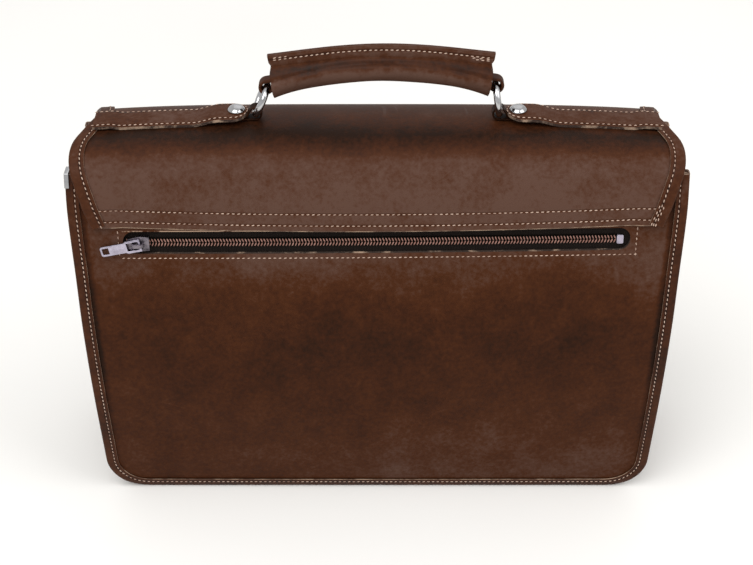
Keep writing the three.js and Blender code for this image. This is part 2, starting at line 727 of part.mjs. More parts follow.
// A frame on the back panel at x: its own X runs along the zip, Y up the panel and Z out of it
function panelFrame(x) {
  const here = zipPoint(x, 0, 0);
  const alongX = zipPoint(x + 1, 0, 0).sub(zipPoint(x - 1, 0, 0)).normalize();
  const up = zipPoint(x, 1, 0).sub(zipPoint(x, -1, 0)).normalize();
  const out = new THREE.Vector3().crossVectors(alongX, up).normalize();
  const frame = new THREE.Group();
  frame.setRotationFromMatrix(new THREE.Matrix4().makeBasis(alongX, out.clone().cross(alongX), out));
  frame.position.copy(here);
  return frame;
}

function zipStop() {
  const height = COIL_THICKNESS + CLEARANCE;
  const block = roundedRectangle(STOP_LENGTH, COIL_WIDTH, 1);
  return plate(block, height, 3).translate(0, 0, COIL_TOP - COIL_THICKNESS);
}

// The slider: a waisted plate over the coil with two cheeks beside it, and a bridge for the pull
function zipSlider() {
  const length = SLIDER_LENGTH / 2;
  const width = SLIDER_WIDTH / 2;
  const outline = new THREE.Shape();
  outline.moveTo(-length, -width * 0.62);
  outline.quadraticCurveTo(0, -width * 1.05, length * 0.25, -width);
  outline.lineTo(length, -width * 0.92);
  outline.lineTo(length, width * 0.92);
  outline.lineTo(length * 0.25, width);
  outline.quadraticCurveTo(0, width * 1.05, -length, width * 0.62);
  outline.closePath();
  const top = plate(outline, SLIDER_PLATE, 4).translate(0, 0, PLATE_FLOOR);
  const cheekTall = PLATE_FLOOR + SLIDER_PLATE - (TAPE_TOP + CLEARANCE);
  const cheekWall = width * 0.92 - COIL_WIDTH / 2 - CLEARANCE;
  const cheeks = [-1, 1].map((side) =>
    new THREE.BoxGeometry(length * 0.9, cheekWall, cheekTall).translate(
      length * 0.5,
      side * (COIL_WIDTH / 2 + CLEARANCE + cheekWall / 2),
      TAPE_TOP + CLEARANCE + cheekTall / 2,
    ),
  );
  return join([top, ...cheeks, sliderBridge()]);
}

function sliderBridge() {
  const half = BRIDGE_LENGTH / 2;
  const underside = HINGE_N + HINGE_ROOM;
  const shape = new THREE.Shape();
  shape.moveTo(-half, -PLATE_TOP + SLIDER_PLATE / 2);
  shape.lineTo(-half, -underside);
  shape.lineTo(-half + BRIDGE_BAR, -underside - BRIDGE_BAR);
  shape.lineTo(half - BRIDGE_BAR, -underside - BRIDGE_BAR);
  shape.lineTo(half, -underside);
  shape.lineTo(half, -PLATE_TOP + SLIDER_PLATE / 2);
  shape.lineTo(half - BRIDGE_BAR, -PLATE_TOP + SLIDER_PLATE / 2);
  shape.lineTo(half - BRIDGE_BAR, -underside);
  shape.lineTo(-half + BRIDGE_BAR, -underside);
  shape.lineTo(-half + BRIDGE_BAR, -PLATE_TOP + SLIDER_PLATE / 2);
  shape.closePath();
  return plate(shape, BRIDGE_WIDTH).rotateX(-Math.PI / 2).translate(0, -BRIDGE_WIDTH / 2, 0);
}

// The pull in its own frame: the hinge bar crosses the origin, and the tab points along -X
function zipPull() {
  const half = PULL_WIDTH / 2;
  const head = PULL_HEAD_WIDTH / 2;
  const hinge = HINGE_BAR / 2;
  const neck = hinge + BRIDGE_LENGTH;
  const outline = new THREE.Shape();
  outline.moveTo(hinge, -head);
  outline.lineTo(hinge, head);
  outline.lineTo(-neck, head);
  outline.lineTo(-neck - HINGE_BAR, half);
  outline.lineTo(-PULL_LENGTH + 1, half);
  outline.lineTo(-PULL_LENGTH, half - 1);
  outline.lineTo(-PULL_LENGTH, -half + 1);
  outline.lineTo(-PULL_LENGTH + 1, -half);
  outline.lineTo(-neck - HINGE_BAR, -half);
  outline.lineTo(-neck, -head);
  outline.closePath();
  outline.holes.push(pullHole(-neck, -hinge, PULL_HEAD_WIDTH - 2 * HINGE_BAR));
  outline.holes.push(pullHole(-PULL_LENGTH + PULL_TIP, -PULL_LENGTH + PULL_TIP + PULL_EYE, PULL_EYE));
  return plate(outline, PULL_WALL).translate(0, 0, -PULL_WALL / 2);
}

function pullHole(from, to, width) {
  const hole = new THREE.Path();
  hole.moveTo(from, -width / 2);
  hole.lineTo(from, width / 2);
  hole.lineTo(to, width / 2);
  hole.lineTo(to, -width / 2);
  hole.closePath();
  return hole;
}

// Metal trims

// The clip saddles the top of the back seam's strip, outside the flap's edge
function seamClip() {
  const edge = panelHalf(PANEL_TOP) + SOFT_CLEARANCE + BINDING_WALL;
  const strip = SOFT_CLEARANCE + BINDING_WALL + CLEARANCE;
  const foot = PANEL_TOP + CLEARANCE + CLIP_WALL - CLIP_HEIGHT;
  const skin = (wall) => (x) => {
    const top = PANEL_TOP + CLEARANCE + wall;
    const point = (z, n) => new THREE.Vector3(x, -panelDepth(edge, z) - n, z);
    const out = strip + wall;
    const back = -SEAM_STACK - strip - wall;
    return [point(foot, out), point(PANEL_TOP, out).setZ(top), point(PANEL_TOP, back).setZ(top), point(foot, back)];
  };
  const ends = [-edge, -edge + FLAP_INSET - SOFT_CLEARANCE];
  return sheet(ends.map(skin(CLIP_WALL)), ends.map(skin(0)));
}

function frontClasp() {
  const z = FRONT_EDGE_HEIGHT + FLAP_BINDING_WIDTH + CLASP_HEIGHT / 2 + 4;
  const shape = roundedRectangle(CLASP_WIDTH, CLASP_HEIGHT, CLASP_CORNER);
  const y = panelDepth(0, z) + FRONT_REST + SOFT_CLEARANCE;
  const face = uprightPlate(shape, y, CLASP_THICKNESS, 5);
  const knob = uprightPlate(
    roundedRectangle(CLASP_WIDTH * 0.42, CLASP_HEIGHT * 0.3, CLASP_HEIGHT * 0.14),
    y + CLASP_THICKNESS / 2,
    CLASP_THICKNESS * 1.3,
    5,
  );
  return join([face, knob]).translate(0, 0, z);
}

// Assembly

function named(name, geometry, material) {
  const mesh = new THREE.Mesh(geometry, material);
  mesh.name = name;
  return mesh;
}

const caseGroup = new THREE.Group();
caseGroup.add(
  named("back_panel", cut(panelSheet(-1), [zipWindow()]), LEATHER),
  named("front_panel", panelSheet(1), LEATHER),
  named("gusset", gusset(), LEATHER),
  named("back_binding", seamBinding(-1), EDGE_LEATHER),
  named("front_binding", seamBinding(1), EDGE_LEATHER),
  named("flap", flap(), LEATHER),
  named("flap_binding", flapBinding(), EDGE_LEATHER),
  named("seam_clip", seamClip(), STEEL),
  named("front_clasp", frontClasp(), STEEL),
);

const fittings = new THREE.Group();
for (const [label, side, tilt] of [
  ["left", -1, LEFT_RING_TILT],
  ["right", 1, RIGHT_RING_TILT],
])
  fittings.add(
    named("top_strap_" + label, crestStrap(side), EDGE_LEATHER),
    named("ring_tab_" + label, ringTab(side), EDGE_LEATHER),
    named("rivet_" + label, rivet(side), STEEL),
    named("ring_" + label, ring(side, tilt), STEEL),
  );
fittings.add(named("handle_grip", grip(), LEATHER), named("handle_core", handleCore(), EDGE_LEATHER));

const zip = new THREE.Group();
zip.add(named("zip_tape", zipTape(), ZIP_BLACK), named("zip_coil", zipCoil(), ZIP_BLACK));

const stopFrame = panelFrame(WINDOW_RIGHT - STOP_LENGTH * 1.5);
stopFrame.add(named("zip_end_stop", zipStop(), STEEL));

const sliderFrame = panelFrame(SLIDER_X);
sliderFrame.add(named("zip_slider", zipSlider(), STEEL));
const pull = named("zip_pull", zipPull(), STEEL);
const hingeX = BRIDGE_LENGTH / 2 - BRIDGE_BAR - HINGE_ROOM;
const pullLean = Math.atan2(HINGE_ROOM - PULL_WALL / 2 - CLEARANCE, hingeX + SLIDER_LENGTH / 2);
pull.rotation.set(0, -pullLean, PULL_TURN, "ZYX");
pull.position.set(hingeX, 0, HINGE_N);
sliderFrame.add(pull);
zip.add(stopFrame, sliderFrame);

const documentCase = new THREE.Group();
documentCase.add(caseGroup, fittings, zip);

// The footprint's middle and the floor become the origin
const box = new THREE.Box3().setFromObject(documentCase);
const middle = box.getCenter(new THREE.Vector3());
documentCase.position.set(-middle.x, -middle.y, -box.min.z);

export default documentCase;
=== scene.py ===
"""Looks of an upright leather document case with a flap, a carrying handle and a zip pocket on its back."""
import logging
import math
from dataclasses import dataclass
from enum import Enum
from typing import Callable, Optional, Sequence, Union

import bmesh
import bpy
import numpy as np
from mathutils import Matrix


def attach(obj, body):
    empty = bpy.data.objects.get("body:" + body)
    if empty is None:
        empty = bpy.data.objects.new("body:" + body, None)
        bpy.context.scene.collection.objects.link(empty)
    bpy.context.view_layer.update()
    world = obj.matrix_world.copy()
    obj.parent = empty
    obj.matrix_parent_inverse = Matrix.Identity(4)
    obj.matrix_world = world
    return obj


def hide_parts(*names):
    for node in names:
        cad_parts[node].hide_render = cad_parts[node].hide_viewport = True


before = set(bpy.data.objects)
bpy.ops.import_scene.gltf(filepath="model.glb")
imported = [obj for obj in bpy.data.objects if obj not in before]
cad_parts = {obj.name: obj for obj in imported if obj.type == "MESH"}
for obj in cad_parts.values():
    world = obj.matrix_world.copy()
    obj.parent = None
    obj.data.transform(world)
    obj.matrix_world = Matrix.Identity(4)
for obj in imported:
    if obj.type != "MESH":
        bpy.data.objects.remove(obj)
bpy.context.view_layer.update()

MM = 0.001
SEED = 7

log = logging.getLogger("document_case")

Colour = tuple[float, float, float]
Points = np.ndarray


class Slot(Enum):
    """The record's material slots."""

    BODY = "body_leather"
    EDGE = "edge_leather"
    HANDLE = "handle_leather"
    BRIGHT = "bright_metal"
    ZIP_METAL = "zip_metal"
    COIL = "zip_plastic"
    TAPE = "zip_cloth"


class Body(Enum):
    """The bodies that move."""

    CASE = "case"
    PULL = "zip_pull"


# Form


class Curve:
    """A smooth line through a few listed places, read at any place between them."""

    def __init__(self, at: Sequence[float], values: Sequence[float], steps: int = 1600) -> None:
        """Samples the line.

        Args:
            at: The listed places, rising.
            values: The value at each.
            steps: How many samples are kept.
        """
        places = np.asarray(at, float)
        heights = np.asarray(values, float)
        count = len(places)
        before = np.maximum(np.arange(count) - 1, 0)
        after = np.minimum(np.arange(count) + 1, count - 1)
        slope = (heights[after] - heights[before]) / (places[after] - places[before])
        self.place = np.linspace(places[0], places[-1], steps)
        index = np.clip(np.searchsorted(places, self.place), 1, count - 1)
        span = places[index] - places[index - 1]
        t = (self.place - places[index - 1]) / span
        rise = (3 - 2 * t) * t * t
        curl = slope[index - 1] * t * (1 - t) ** 2 - slope[index] * (1 - t) * t * t
        self.value = heights[index - 1] + (heights[index] - heights[index - 1]) * rise + curl * span

    def __call__(self, place: Union[float, Points]) -> Points:
        """Reads the line at a place, or at many."""
        return np.interp(place, self.place, self.value)


def smoothstep(value: Union[float, Points], low: float, high: float) -> Points:
    """A soft step from 0 at low to 1 at high."""
    t = np.clip((np.asarray(value, float) - low) / (high - low), 0, 1)
    return t * t * (3 - 2 * t)


def aligned(*values: Union[float, Points]) -> list[Points]:
    """The values as numbers in arrays of one shape."""
    return np.broadcast_arrays(*(np.asarray(value, float) for value in values))


def rounded(half: Points, radius: float, beyond: Points) -> Points:
    """Half a width, less what a corner of this radius takes off so far beyond the corner's start."""
    return half - radius + np.sqrt(np.maximum(0, radius**2 - np.maximum(0, beyond) ** 2))


def lengths(points: Points) -> Points:
    """The length along a line of points up to each of them."""
    return np.concatenate([[0], np.cumsum(np.hypot(*np.diff(points, axis=0).T))])


def directions(points: Points) -> Points:
    """The direction of a line of points at each of them."""
    slope = np.gradient(points, axis=0)
    return slope / np.linalg.norm(slope, axis=1, keepdims=True)


@dataclass
class CaseForm:
    """The case's surfaces in millimetres, before its middle is moved onto the frame's origin."""

    bottom_width: float = 391.0
    top_width: float = 403.0
    depth: float = 100.0
    panel_height: float = 262.0
    corner_radius: float = 28.0
    side_bow: float = 9.8
    panel_belly: float = 4.5
    side_fold: float = 24.0
    base_sag: float = 5.0
    dent_depth: float = 0.55
    gusset_drop: float = 8.0
    panel_wall: float = 2.0
    gusset_wall: float = 1.6
    binding_wall: float = 1.0
    flap_wall: float = 2.0
    clearance: float = 0.3
    soft_clearance: float = 0.5
    binding_width: float = 7.0
    flap_binding_width: float = 8.5
    flap_inset: float = 3.6
    crest_height: float = 282.5
    tail_height: float = 227.0
    tail_slope: float = 0.005
    tail_sag: float = 4.5
    sewn_band: float = 13.0
    front_edge: float = 95.0
    flap_corner: float = 40.0
    flap_lift: float = 1.6
    edge_lift: float = 2.0
    crest_droop: float = 5.5
    middle_y: float = -5.9075
    window_margin: float = 34.5
    window_height: float = 16.0
    window_x: float = -0.5
    zip_z: float = 219.8
    zip_slope: float = 0.009

    def __post_init__(self) -> None:
        """Works out what follows from the sizes."""
        share = [0, 0.03, 0.17, 0.38, 0.58, 0.73, 0.91, 1]
        self.bow = Curve(share, [0, 0.27, 0.64, 1, 0.93, 0.44, -0.17, -1.15])
        self.swell = Curve(share, [0, 0.1, 0.6, 1, 0.95, 0.6, 0.35, 0.3])
        self.fold = Curve(share, [0, 0, 0.05, 0.35, 0.6, 0.8, 0.95, 1])
        self.strip_top = self.soft_clearance + self.binding_wall
        self.floor_edge = self.strip_top
        self.seam_stack = self.panel_wall + self.clearance + self.gusset_wall
        self.gusset_inset = self.binding_width + 2 * self.clearance
        self.panel_top = self.floor_edge + self.panel_height
        self.gusset_top = self.panel_top - self.gusset_drop
        self.flap_width = self.top_width - 2 * self.flap_inset
        self.window_length = self.top_width - 2 * self.window_margin
        self.window_left = self.window_x - self.window_length / 2
        self.window_right = self.window_x + self.window_length / 2
        self._flap_profile()

    def to_frame(self, points: Points) -> Points:
        """Turns points in the case's own millimetres into metres in the frame."""
        return (np.asarray(points, float) + np.array([0, self.middle_y, 0])) * MM

    def share(self, z: Points) -> Points:
        """The share of the panel's height at z."""
        return (np.asarray(z, float) - self.floor_edge) / self.panel_height

    def panel_half(self, z: Points) -> Points:
        """Half the panel's width at height z."""
        straight = (self.bottom_width + (self.top_width - self.bottom_width) * self.share(z)) / 2
        return rounded(straight, self.corner_radius, self.floor_edge + self.corner_radius - z)

    def belly(self, z: Points) -> Points:
        """How far the panel's middle swells at height z."""
        return self.panel_belly * self.swell(self.share(z))

    def dents(self, x: Points, z: Points) -> Points:
        """Soft hollows of worn leather in the open part of a panel."""
        ripple = np.sin(x / 31 + z / 47) * np.sin(z / 26 - x / 90) + 0.6 * np.sin(x / 17 - z / 39 + 2)
        open_part = smoothstep(z, 12, 60) * (1 - smoothstep(z, 165, 200))
        open_part = open_part * (1 - smoothstep(np.abs(x), 140, 180))
        return self.dent_depth * ripple * open_part

    def panel_depth(self, x: Points, z: Points) -> Points:
        """How far a panel's outer face stands from the middle plane."""
        across = np.minimum(1, np.abs(x) / self.panel_half(np.maximum(z, self.floor_edge)))
        return self.depth / 2 + self.side_bow * self.bow(self.share(z)) + self.belly(z) * (1 - across**2)

    def corner_heights(self, steps: int) -> Points:
        """Heights up the round bottom corner."""
        angle = np.arange(steps) / steps * math.pi / 2
        return self.floor_edge + self.corner_radius * (1 - np.cos(angle))

    def side_heights(self, side: int, step: float = 3.0) -> Points:
        """Heights up the straight side: to the panel's top at the back, to the gusset's at the front."""
        start = self.floor_edge + self.corner_radius
        top = self.panel_top if side < 0 else self.gusset_top
        return np.linspace(start, top, int((top - start) / step) + 1)

    def seam_stations(self, heights: Points, corner_steps: int = 14, bottom_steps: int = 80) -> Points:
        """The panel's outline from the top left, along the bottom, to the top right.

        Args:
            heights: Heights of the stations up the side.
            corner_steps: Stations round a bottom corner.
            bottom_steps: Steps along the bottom.

        Returns:
            A row of x, z, and the direction inwards in x and z for each station.
        """
        down = heights[::-1]
        side = np.stack([-self.panel_half(down), down, np.ones_like(down), np.zeros_like(down)], 1)
        angle = (np.arange(corner_steps) + 1) / corner_steps * math.pi / 2
        z = self.floor_edge + self.corner_radius * (1 - np.sin(angle))
        corner = np.stack([-self.panel_half(z), z, np.cos(angle), np.sin(angle)], 1)
        centre = -float(self.panel_half(self.floor_edge))
        x = np.linspace(centre, -centre, bottom_steps + 1)[1:-1]
        bottom = np.stack([x, np.full_like(x, self.floor_edge), np.zeros_like(x), np.ones_like(x)], 1)
        left = np.concatenate([side, corner])
        right = (left * np.array([-1, 1, -1, 1]))[::-1]
        return np.concatenate([left, bottom, right])

    def seam_point(self, stations: Points, side: int, w: Points, n: Points) -> Points:
        """Points w mm inwards from the panel's edge and n mm out from its outer face."""
        x0, z0, in_x, in_z = stations.T
        on_panel = np.maximum(w, 0)
        depth = self.panel_depth(x0 + in_x * on_panel, z0 + in_z * on_panel)
        return np.stack([x0 + in_x * w, side * (depth + n), z0 + in_z * w], -1)

    def _flap_profile(self) -> None:
        """Draws the flap in side view from its tail, over the crest, to its front edge."""
        rest = self.clearance + self.flap_wall
        front_rest = rest + self.flap_lift + self.edge_lift
        shoulder = self.panel_top
        shoulder_y = float(self.panel_depth(0, shoulder)) + rest + self.flap_lift
        self.rise = self.crest_height - shoulder
        z = self.tail_height + (shoulder - self.tail_height) * np.arange(4) / 4
        lift = self.flap_lift * smoothstep(z, self.tail_height + self.sewn_band, shoulder - self.sewn_band)
        back = np.stack([-self.panel_depth(0 * z, z) - rest - lift, z], 1)
        arch_y = np.array([1, 0.965, 0.91, 0.83, 0.73, 0.6, 0.45, 0.3, 0.15, 0])
        arch_z = shoulder + self.rise * np.array([0, 0.14, 0.28, 0.44, 0.6, 0.755, 0.87, 0.945, 0.987, 1])
        rear = np.stack([-shoulder_y * arch_y, arch_z], 1)
        ahead = np.stack([(shoulder_y + self.edge_lift) * arch_y, arch_z], 1)[::-1][1:]
        corner_top = self.front_edge + self.flap_corner
        straight = shoulder + (corner_top - shoulder) * (np.arange(7) + 1) / 7
        angle = (np.arange(4) + 1) / 4 * math.pi / 2
        low = np.concatenate([straight, corner_top - self.flap_corner * np.sin(angle)])
        front = np.stack([self.panel_depth(0 * low, low) + front_rest, low], 1)
        rows = np.concatenate([back, rear, ahead, front])
        at = lengths(rows)
        self.flap_length = float(at[-1])
        self.crest_at = float(at[len(back) + len(rear) - 1])
        self.flap_y = Curve(at, rows[:, 0])
        self.flap_z = Curve(at, rows[:, 1])
        shares = [0, 0.06, 0.14, 0.21, 0.265, 0.335, 0.4, 0.47, 0.7, 1]
        self.flap_share = Curve(shares, [0.937, 0.968, 1, 1, 0.972, 0.94, 0.955, 0.985, 0.985, 0.975])

    def flap_half(self, at: Points) -> Points:
        """Half the flap's width, at mm along it from its tail."""
        straight = self.flap_width / 2 * self.flap_share(np.asarray(at) / self.flap_length)
        return rounded(straight, self.flap_corner, at - (self.flap_length - self.flap_corner))

    def flap_point(self, x: Points, at: Points, n: Points) -> Points:
        """Points of the flap: x across, at mm from the tail, n mm out from its outer face."""
        x, at, n = aligned(x, at, n)
        across = np.abs(x) / (self.flap_width / 2)
        skew = self.tail_slope * (x + self.flap_width / 2) + self.tail_sag * across**2
        sewn = 1 - smoothstep(at, 0, self.crest_at)
        place = np.clip(at + skew * sewn, 0, self.flap_length)
        low, high = np.clip([place - 1.5, place + 1.5], 0, self.flap_length)
        slope_y = self.flap_y(high) - self.flap_y(low)
        slope_z = self.flap_z(high) - self.flap_z(low)
        long = np.hypot(slope_y, slope_z)
        out_y, out_z = -slope_z / long, slope_y / long
        y, z = self.flap_y(place), self.flap_z(place)
        rise = np.maximum(0, (z - self.panel_top) / self.rise)
        edge = np.abs(x) - self.flap_half(at)
        strip = self.flap_binding_width
        lift = self.edge_lift * smoothstep(edge, -2.5 * strip, -strip) * (at < self.crest_at)
        out = n + (lift - self.belly(z) * across**2) * (1 - rise)
        droop = self.crest_droop * across**4 * np.where(at < self.crest_at, rise**2, np.sqrt(rise))
        return np.stack([x, y + out_y * out, z + out_z * out - droop], -1)

    def flap_stations(self, step: float = 4.0) -> Points:
        """The flap's edge from its tail, over the top, along the front edge and back.

        Args:
            step: The distance between stations in mm.

        Returns:
            A row of x, at, and the direction inwards in x and at for each station.
        """
        straight = np.arange(0, self.flap_length - self.flap_corner, step)
        angle = np.linspace(0, math.pi / 2, 14)
        at = np.concatenate([straight, self.flap_length - self.flap_corner * (1 - np.sin(angle))])
        left = np.stack([-self.flap_half(at), at], 1)
        x = np.linspace(left[-1, 0], -left[-1, 0], 80)[1:-1]
        front = np.stack([x, np.full_like(x, self.flap_length)], 1)
        line = np.concatenate([left, front, (left * np.array([-1, 1]))[::-1]])
        slope = directions(line)
        return np.concatenate([line, np.stack([slope[:, 1], -slope[:, 0]], 1)], 1)

    def flap_edge_point(self, stations: Points, w: Points, n: Points) -> Points:
        """Points w mm inwards from the flap's edge and n mm out from its outer face."""
        x, at, in_x, in_at = stations.T
        on_flap = np.maximum(w, 0)
        point = self.flap_point(x + in_x * on_flap, at + in_at * on_flap, n)
        inward = self.flap_point(x + in_x, at + in_at, n) - point
        return point + inward * np.minimum(w, 0)[..., None]

    def zip_point(self, x: Points, v: Points, n: Points) -> Points:
        """Points on the back panel: n mm out, v mm above the zip's sloping middle line."""
        x, v, n = aligned(x, v, n)
        z = self.zip_z + v + self.zip_slope * (x - self.window_x)
        return np.stack([x, -self.panel_depth(x, z) - n, z], -1)


FORM = CaseForm()


# Shaders

Value = Union["Wire", float, int, Sequence[float]]
Settings = dict[str, object]
Inputs = dict[Union[str, int], object]


class Wire:
    """A shader socket that takes part in Python sums."""

    def __init__(self, bench: "Bench", socket: bpy.types.NodeSocket) -> None:
        """Keeps the socket and the bench that it is on."""
        self.bench = bench
        self.socket = socket

    def _sum(self, operation: str, *values: Value) -> "Wire":
        """Adds one Math node on these values."""
        return self.bench.wire("ShaderNodeMath", dict(enumerate(values)), {"operation": operation})

    def __add__(self, other: Value) -> "Wire":
        """self + other."""
        return self._sum("ADD", self, other)

    def __radd__(self, other: Value) -> "Wire":
        """other + self."""
        return self._sum("ADD", other, self)

    def __sub__(self, other: Value) -> "Wire":
        """self - other."""
        return self._sum("SUBTRACT", self, other)

    def __rsub__(self, other: Value) -> "Wire":
        """other - self."""
        return self._sum("SUBTRACT", other, self)

    def __mul__(self, other: Value) -> "Wire":
        """self * other."""
        return self._sum("MULTIPLY", self, other)

    def __abs__(self) -> "Wire":
        """The size of self."""
        return self._sum("ABSOLUTE", self)

    def step(self, low: float, high: float) -> "Wire":
        """A soft step from 0 at low to 1 at high."""
        values = {"Value": self, "From Min": low, "From Max": high}
        return self.bench.wire("ShaderNodeMapRange", values, {"interpolation_type": "SMOOTHSTEP"})


def feed(tree: bpy.types.NodeTree, socket: bpy.types.NodeSocket, value: object) -> None:
    """Links a wire or a socket to a node's input, or sets the value on it."""
    source = value.socket if isinstance(value, Wire) else value
    if isinstance(source, bpy.types.NodeSocket):
        tree.links.new(source, socket)
    else:
        socket.default_value = source


def put_stops(ramp: bpy.types.Node, stops: Sequence[tuple[float, Colour]]) -> None:
    """Puts the stops on a ramp."""
    elements = ramp.color_ramp.elements
    while len(elements) < len(stops):
        elements.new(0.5)
    for element, (place, colour) in zip(elements, stops):
        element.position = place
        element.color = (*colour, 1)


def add_node(
    tree: bpy.types.NodeTree,
    kind: str,
    values: Optional[Inputs] = None,
    settings: Optional[Settings] = None,
) -> bpy.types.Node:
    """Adds a node to a tree.

    Args:
        tree: The tree.
        kind: The node's type.
        values: A value, a wire or a socket for each of its inputs.
        settings: Its settings, set first; "stops" are a ramp's places and colours.

    Returns:
        The node.
    """
    made = tree.nodes.new(kind)
    for key, setting in (settings or {}).items():
        if key == "stops":
            put_stops(made, setting)
        else:
            setattr(made, key, setting)
    for key, value in (values or {}).items():
        feed(tree, made.inputs[key], value)
    return made


class Bench:
    """One material's node tree, and the ways to put nodes in it."""

    def __init__(self, name: str) -> None:
        """Makes an empty material with a shader and an output."""
        self.material = bpy.data.materials.new(name)
        self.material.use_nodes = True
        self.tree = self.material.node_tree
        self.tree.nodes.clear()
        self.shader = add_node(self.tree, "ShaderNodeBsdfPrincipled")
        add_node(self.tree, "ShaderNodeOutputMaterial", {0: self.shader.outputs[0]})

    def wire(
        self,
        kind: str,
        values: Optional[Inputs] = None,
        settings: Optional[Settings] = None,
        output: Union[int, str] = 0,
    ) -> Wire:
        """Adds a node and returns one of its outputs."""
        return Wire(self, add_node(self.tree, kind, values, settings).outputs[output])

    def coordinates(self) -> Wire:
        """Object coordinates, in metres."""
        return self.wire("ShaderNodeTexCoord", output="Object")

    def attribute(self, name: str) -> Wire:
        """A number that the mesh carries."""
        return self.wire("ShaderNodeAttribute", None, {"attribute_name": name}, "Fac")

    def axis(self, vector: Wire, axis: str) -> Wire:
        """One of a vector's three numbers."""
        return self.wire("ShaderNodeSeparateXYZ", {0: vector}, output=axis)

    def mapped(self, vector: Wire, scale: Sequence[float], turn: Sequence[float]) -> Wire:
        """The vector turned, then stretched."""
        turned = self.wire("ShaderNodeMapping", {"Vector": vector, "Rotation": turn})
        return self.wire("ShaderNodeMapping", {"Vector": turned, "Scale": scale})

    def noise(self, vector: Wire, scale: float, detail: float, rough: float) -> Wire:
        """Soft noise from 0 to 1."""
        values = {"Vector": vector, "Scale": scale, "Detail": detail, "Roughness": rough}
        return self.wire("ShaderNodeTexNoise", values)

    def cells(self, vector: Wire, scale: float) -> Wire:
        """The distance to the nearest grain cell's middle."""
        return self.wire("ShaderNodeTexVoronoi", {"Vector": vector, "Scale": scale}, output="Distance")

    def ramp(self, value: Wire, stops: Sequence[tuple[float, Colour]]) -> Wire:
        """A colour for each value."""
        return self.wire("ShaderNodeValToRGB", {0: value}, {"stops": stops})

    def mix(self, factor: Value, a: Value, b: Value) -> Wire:
        """Colours a and b, mixed."""
        return self.wire("ShaderNodeMix", {0: factor, 6: a, 7: b}, {"data_type": "RGBA"}, 2)

    def bump(self, height: Wire, strength: float, distance: float, normal: Optional[Wire] = None) -> Wire:
        """A normal that follows a height in metres times distance."""
        values = {"Strength": strength, "Distance": distance, "Height": height}
        if normal is not None:
            values["Normal"] = normal
        return self.wire("ShaderNodeBump", values)

    def finish(self, values: dict[str, Value]) -> bpy.types.Material:
        """Sets the shader's sockets, named with _ for a space, and returns the material."""
        for key, value in values.items():
            feed(self.tree, self.shader.inputs[key.replace("_", " ")], value)
        return self.material


@dataclass(frozen=True)
class Finish:
    """A material of the case."""

    name: str

    def sockets(self, bench: Bench, place: Wire) -> dict[str, Value]:
        """What the shader is given, with _ for a space in each socket's name."""
        raise NotImplementedError

    def material(self) -> bpy.types.Material:
        """Builds the material."""
        bench = Bench(self.name)
        return bench.finish(self.sockets(bench, bench.coordinates()))


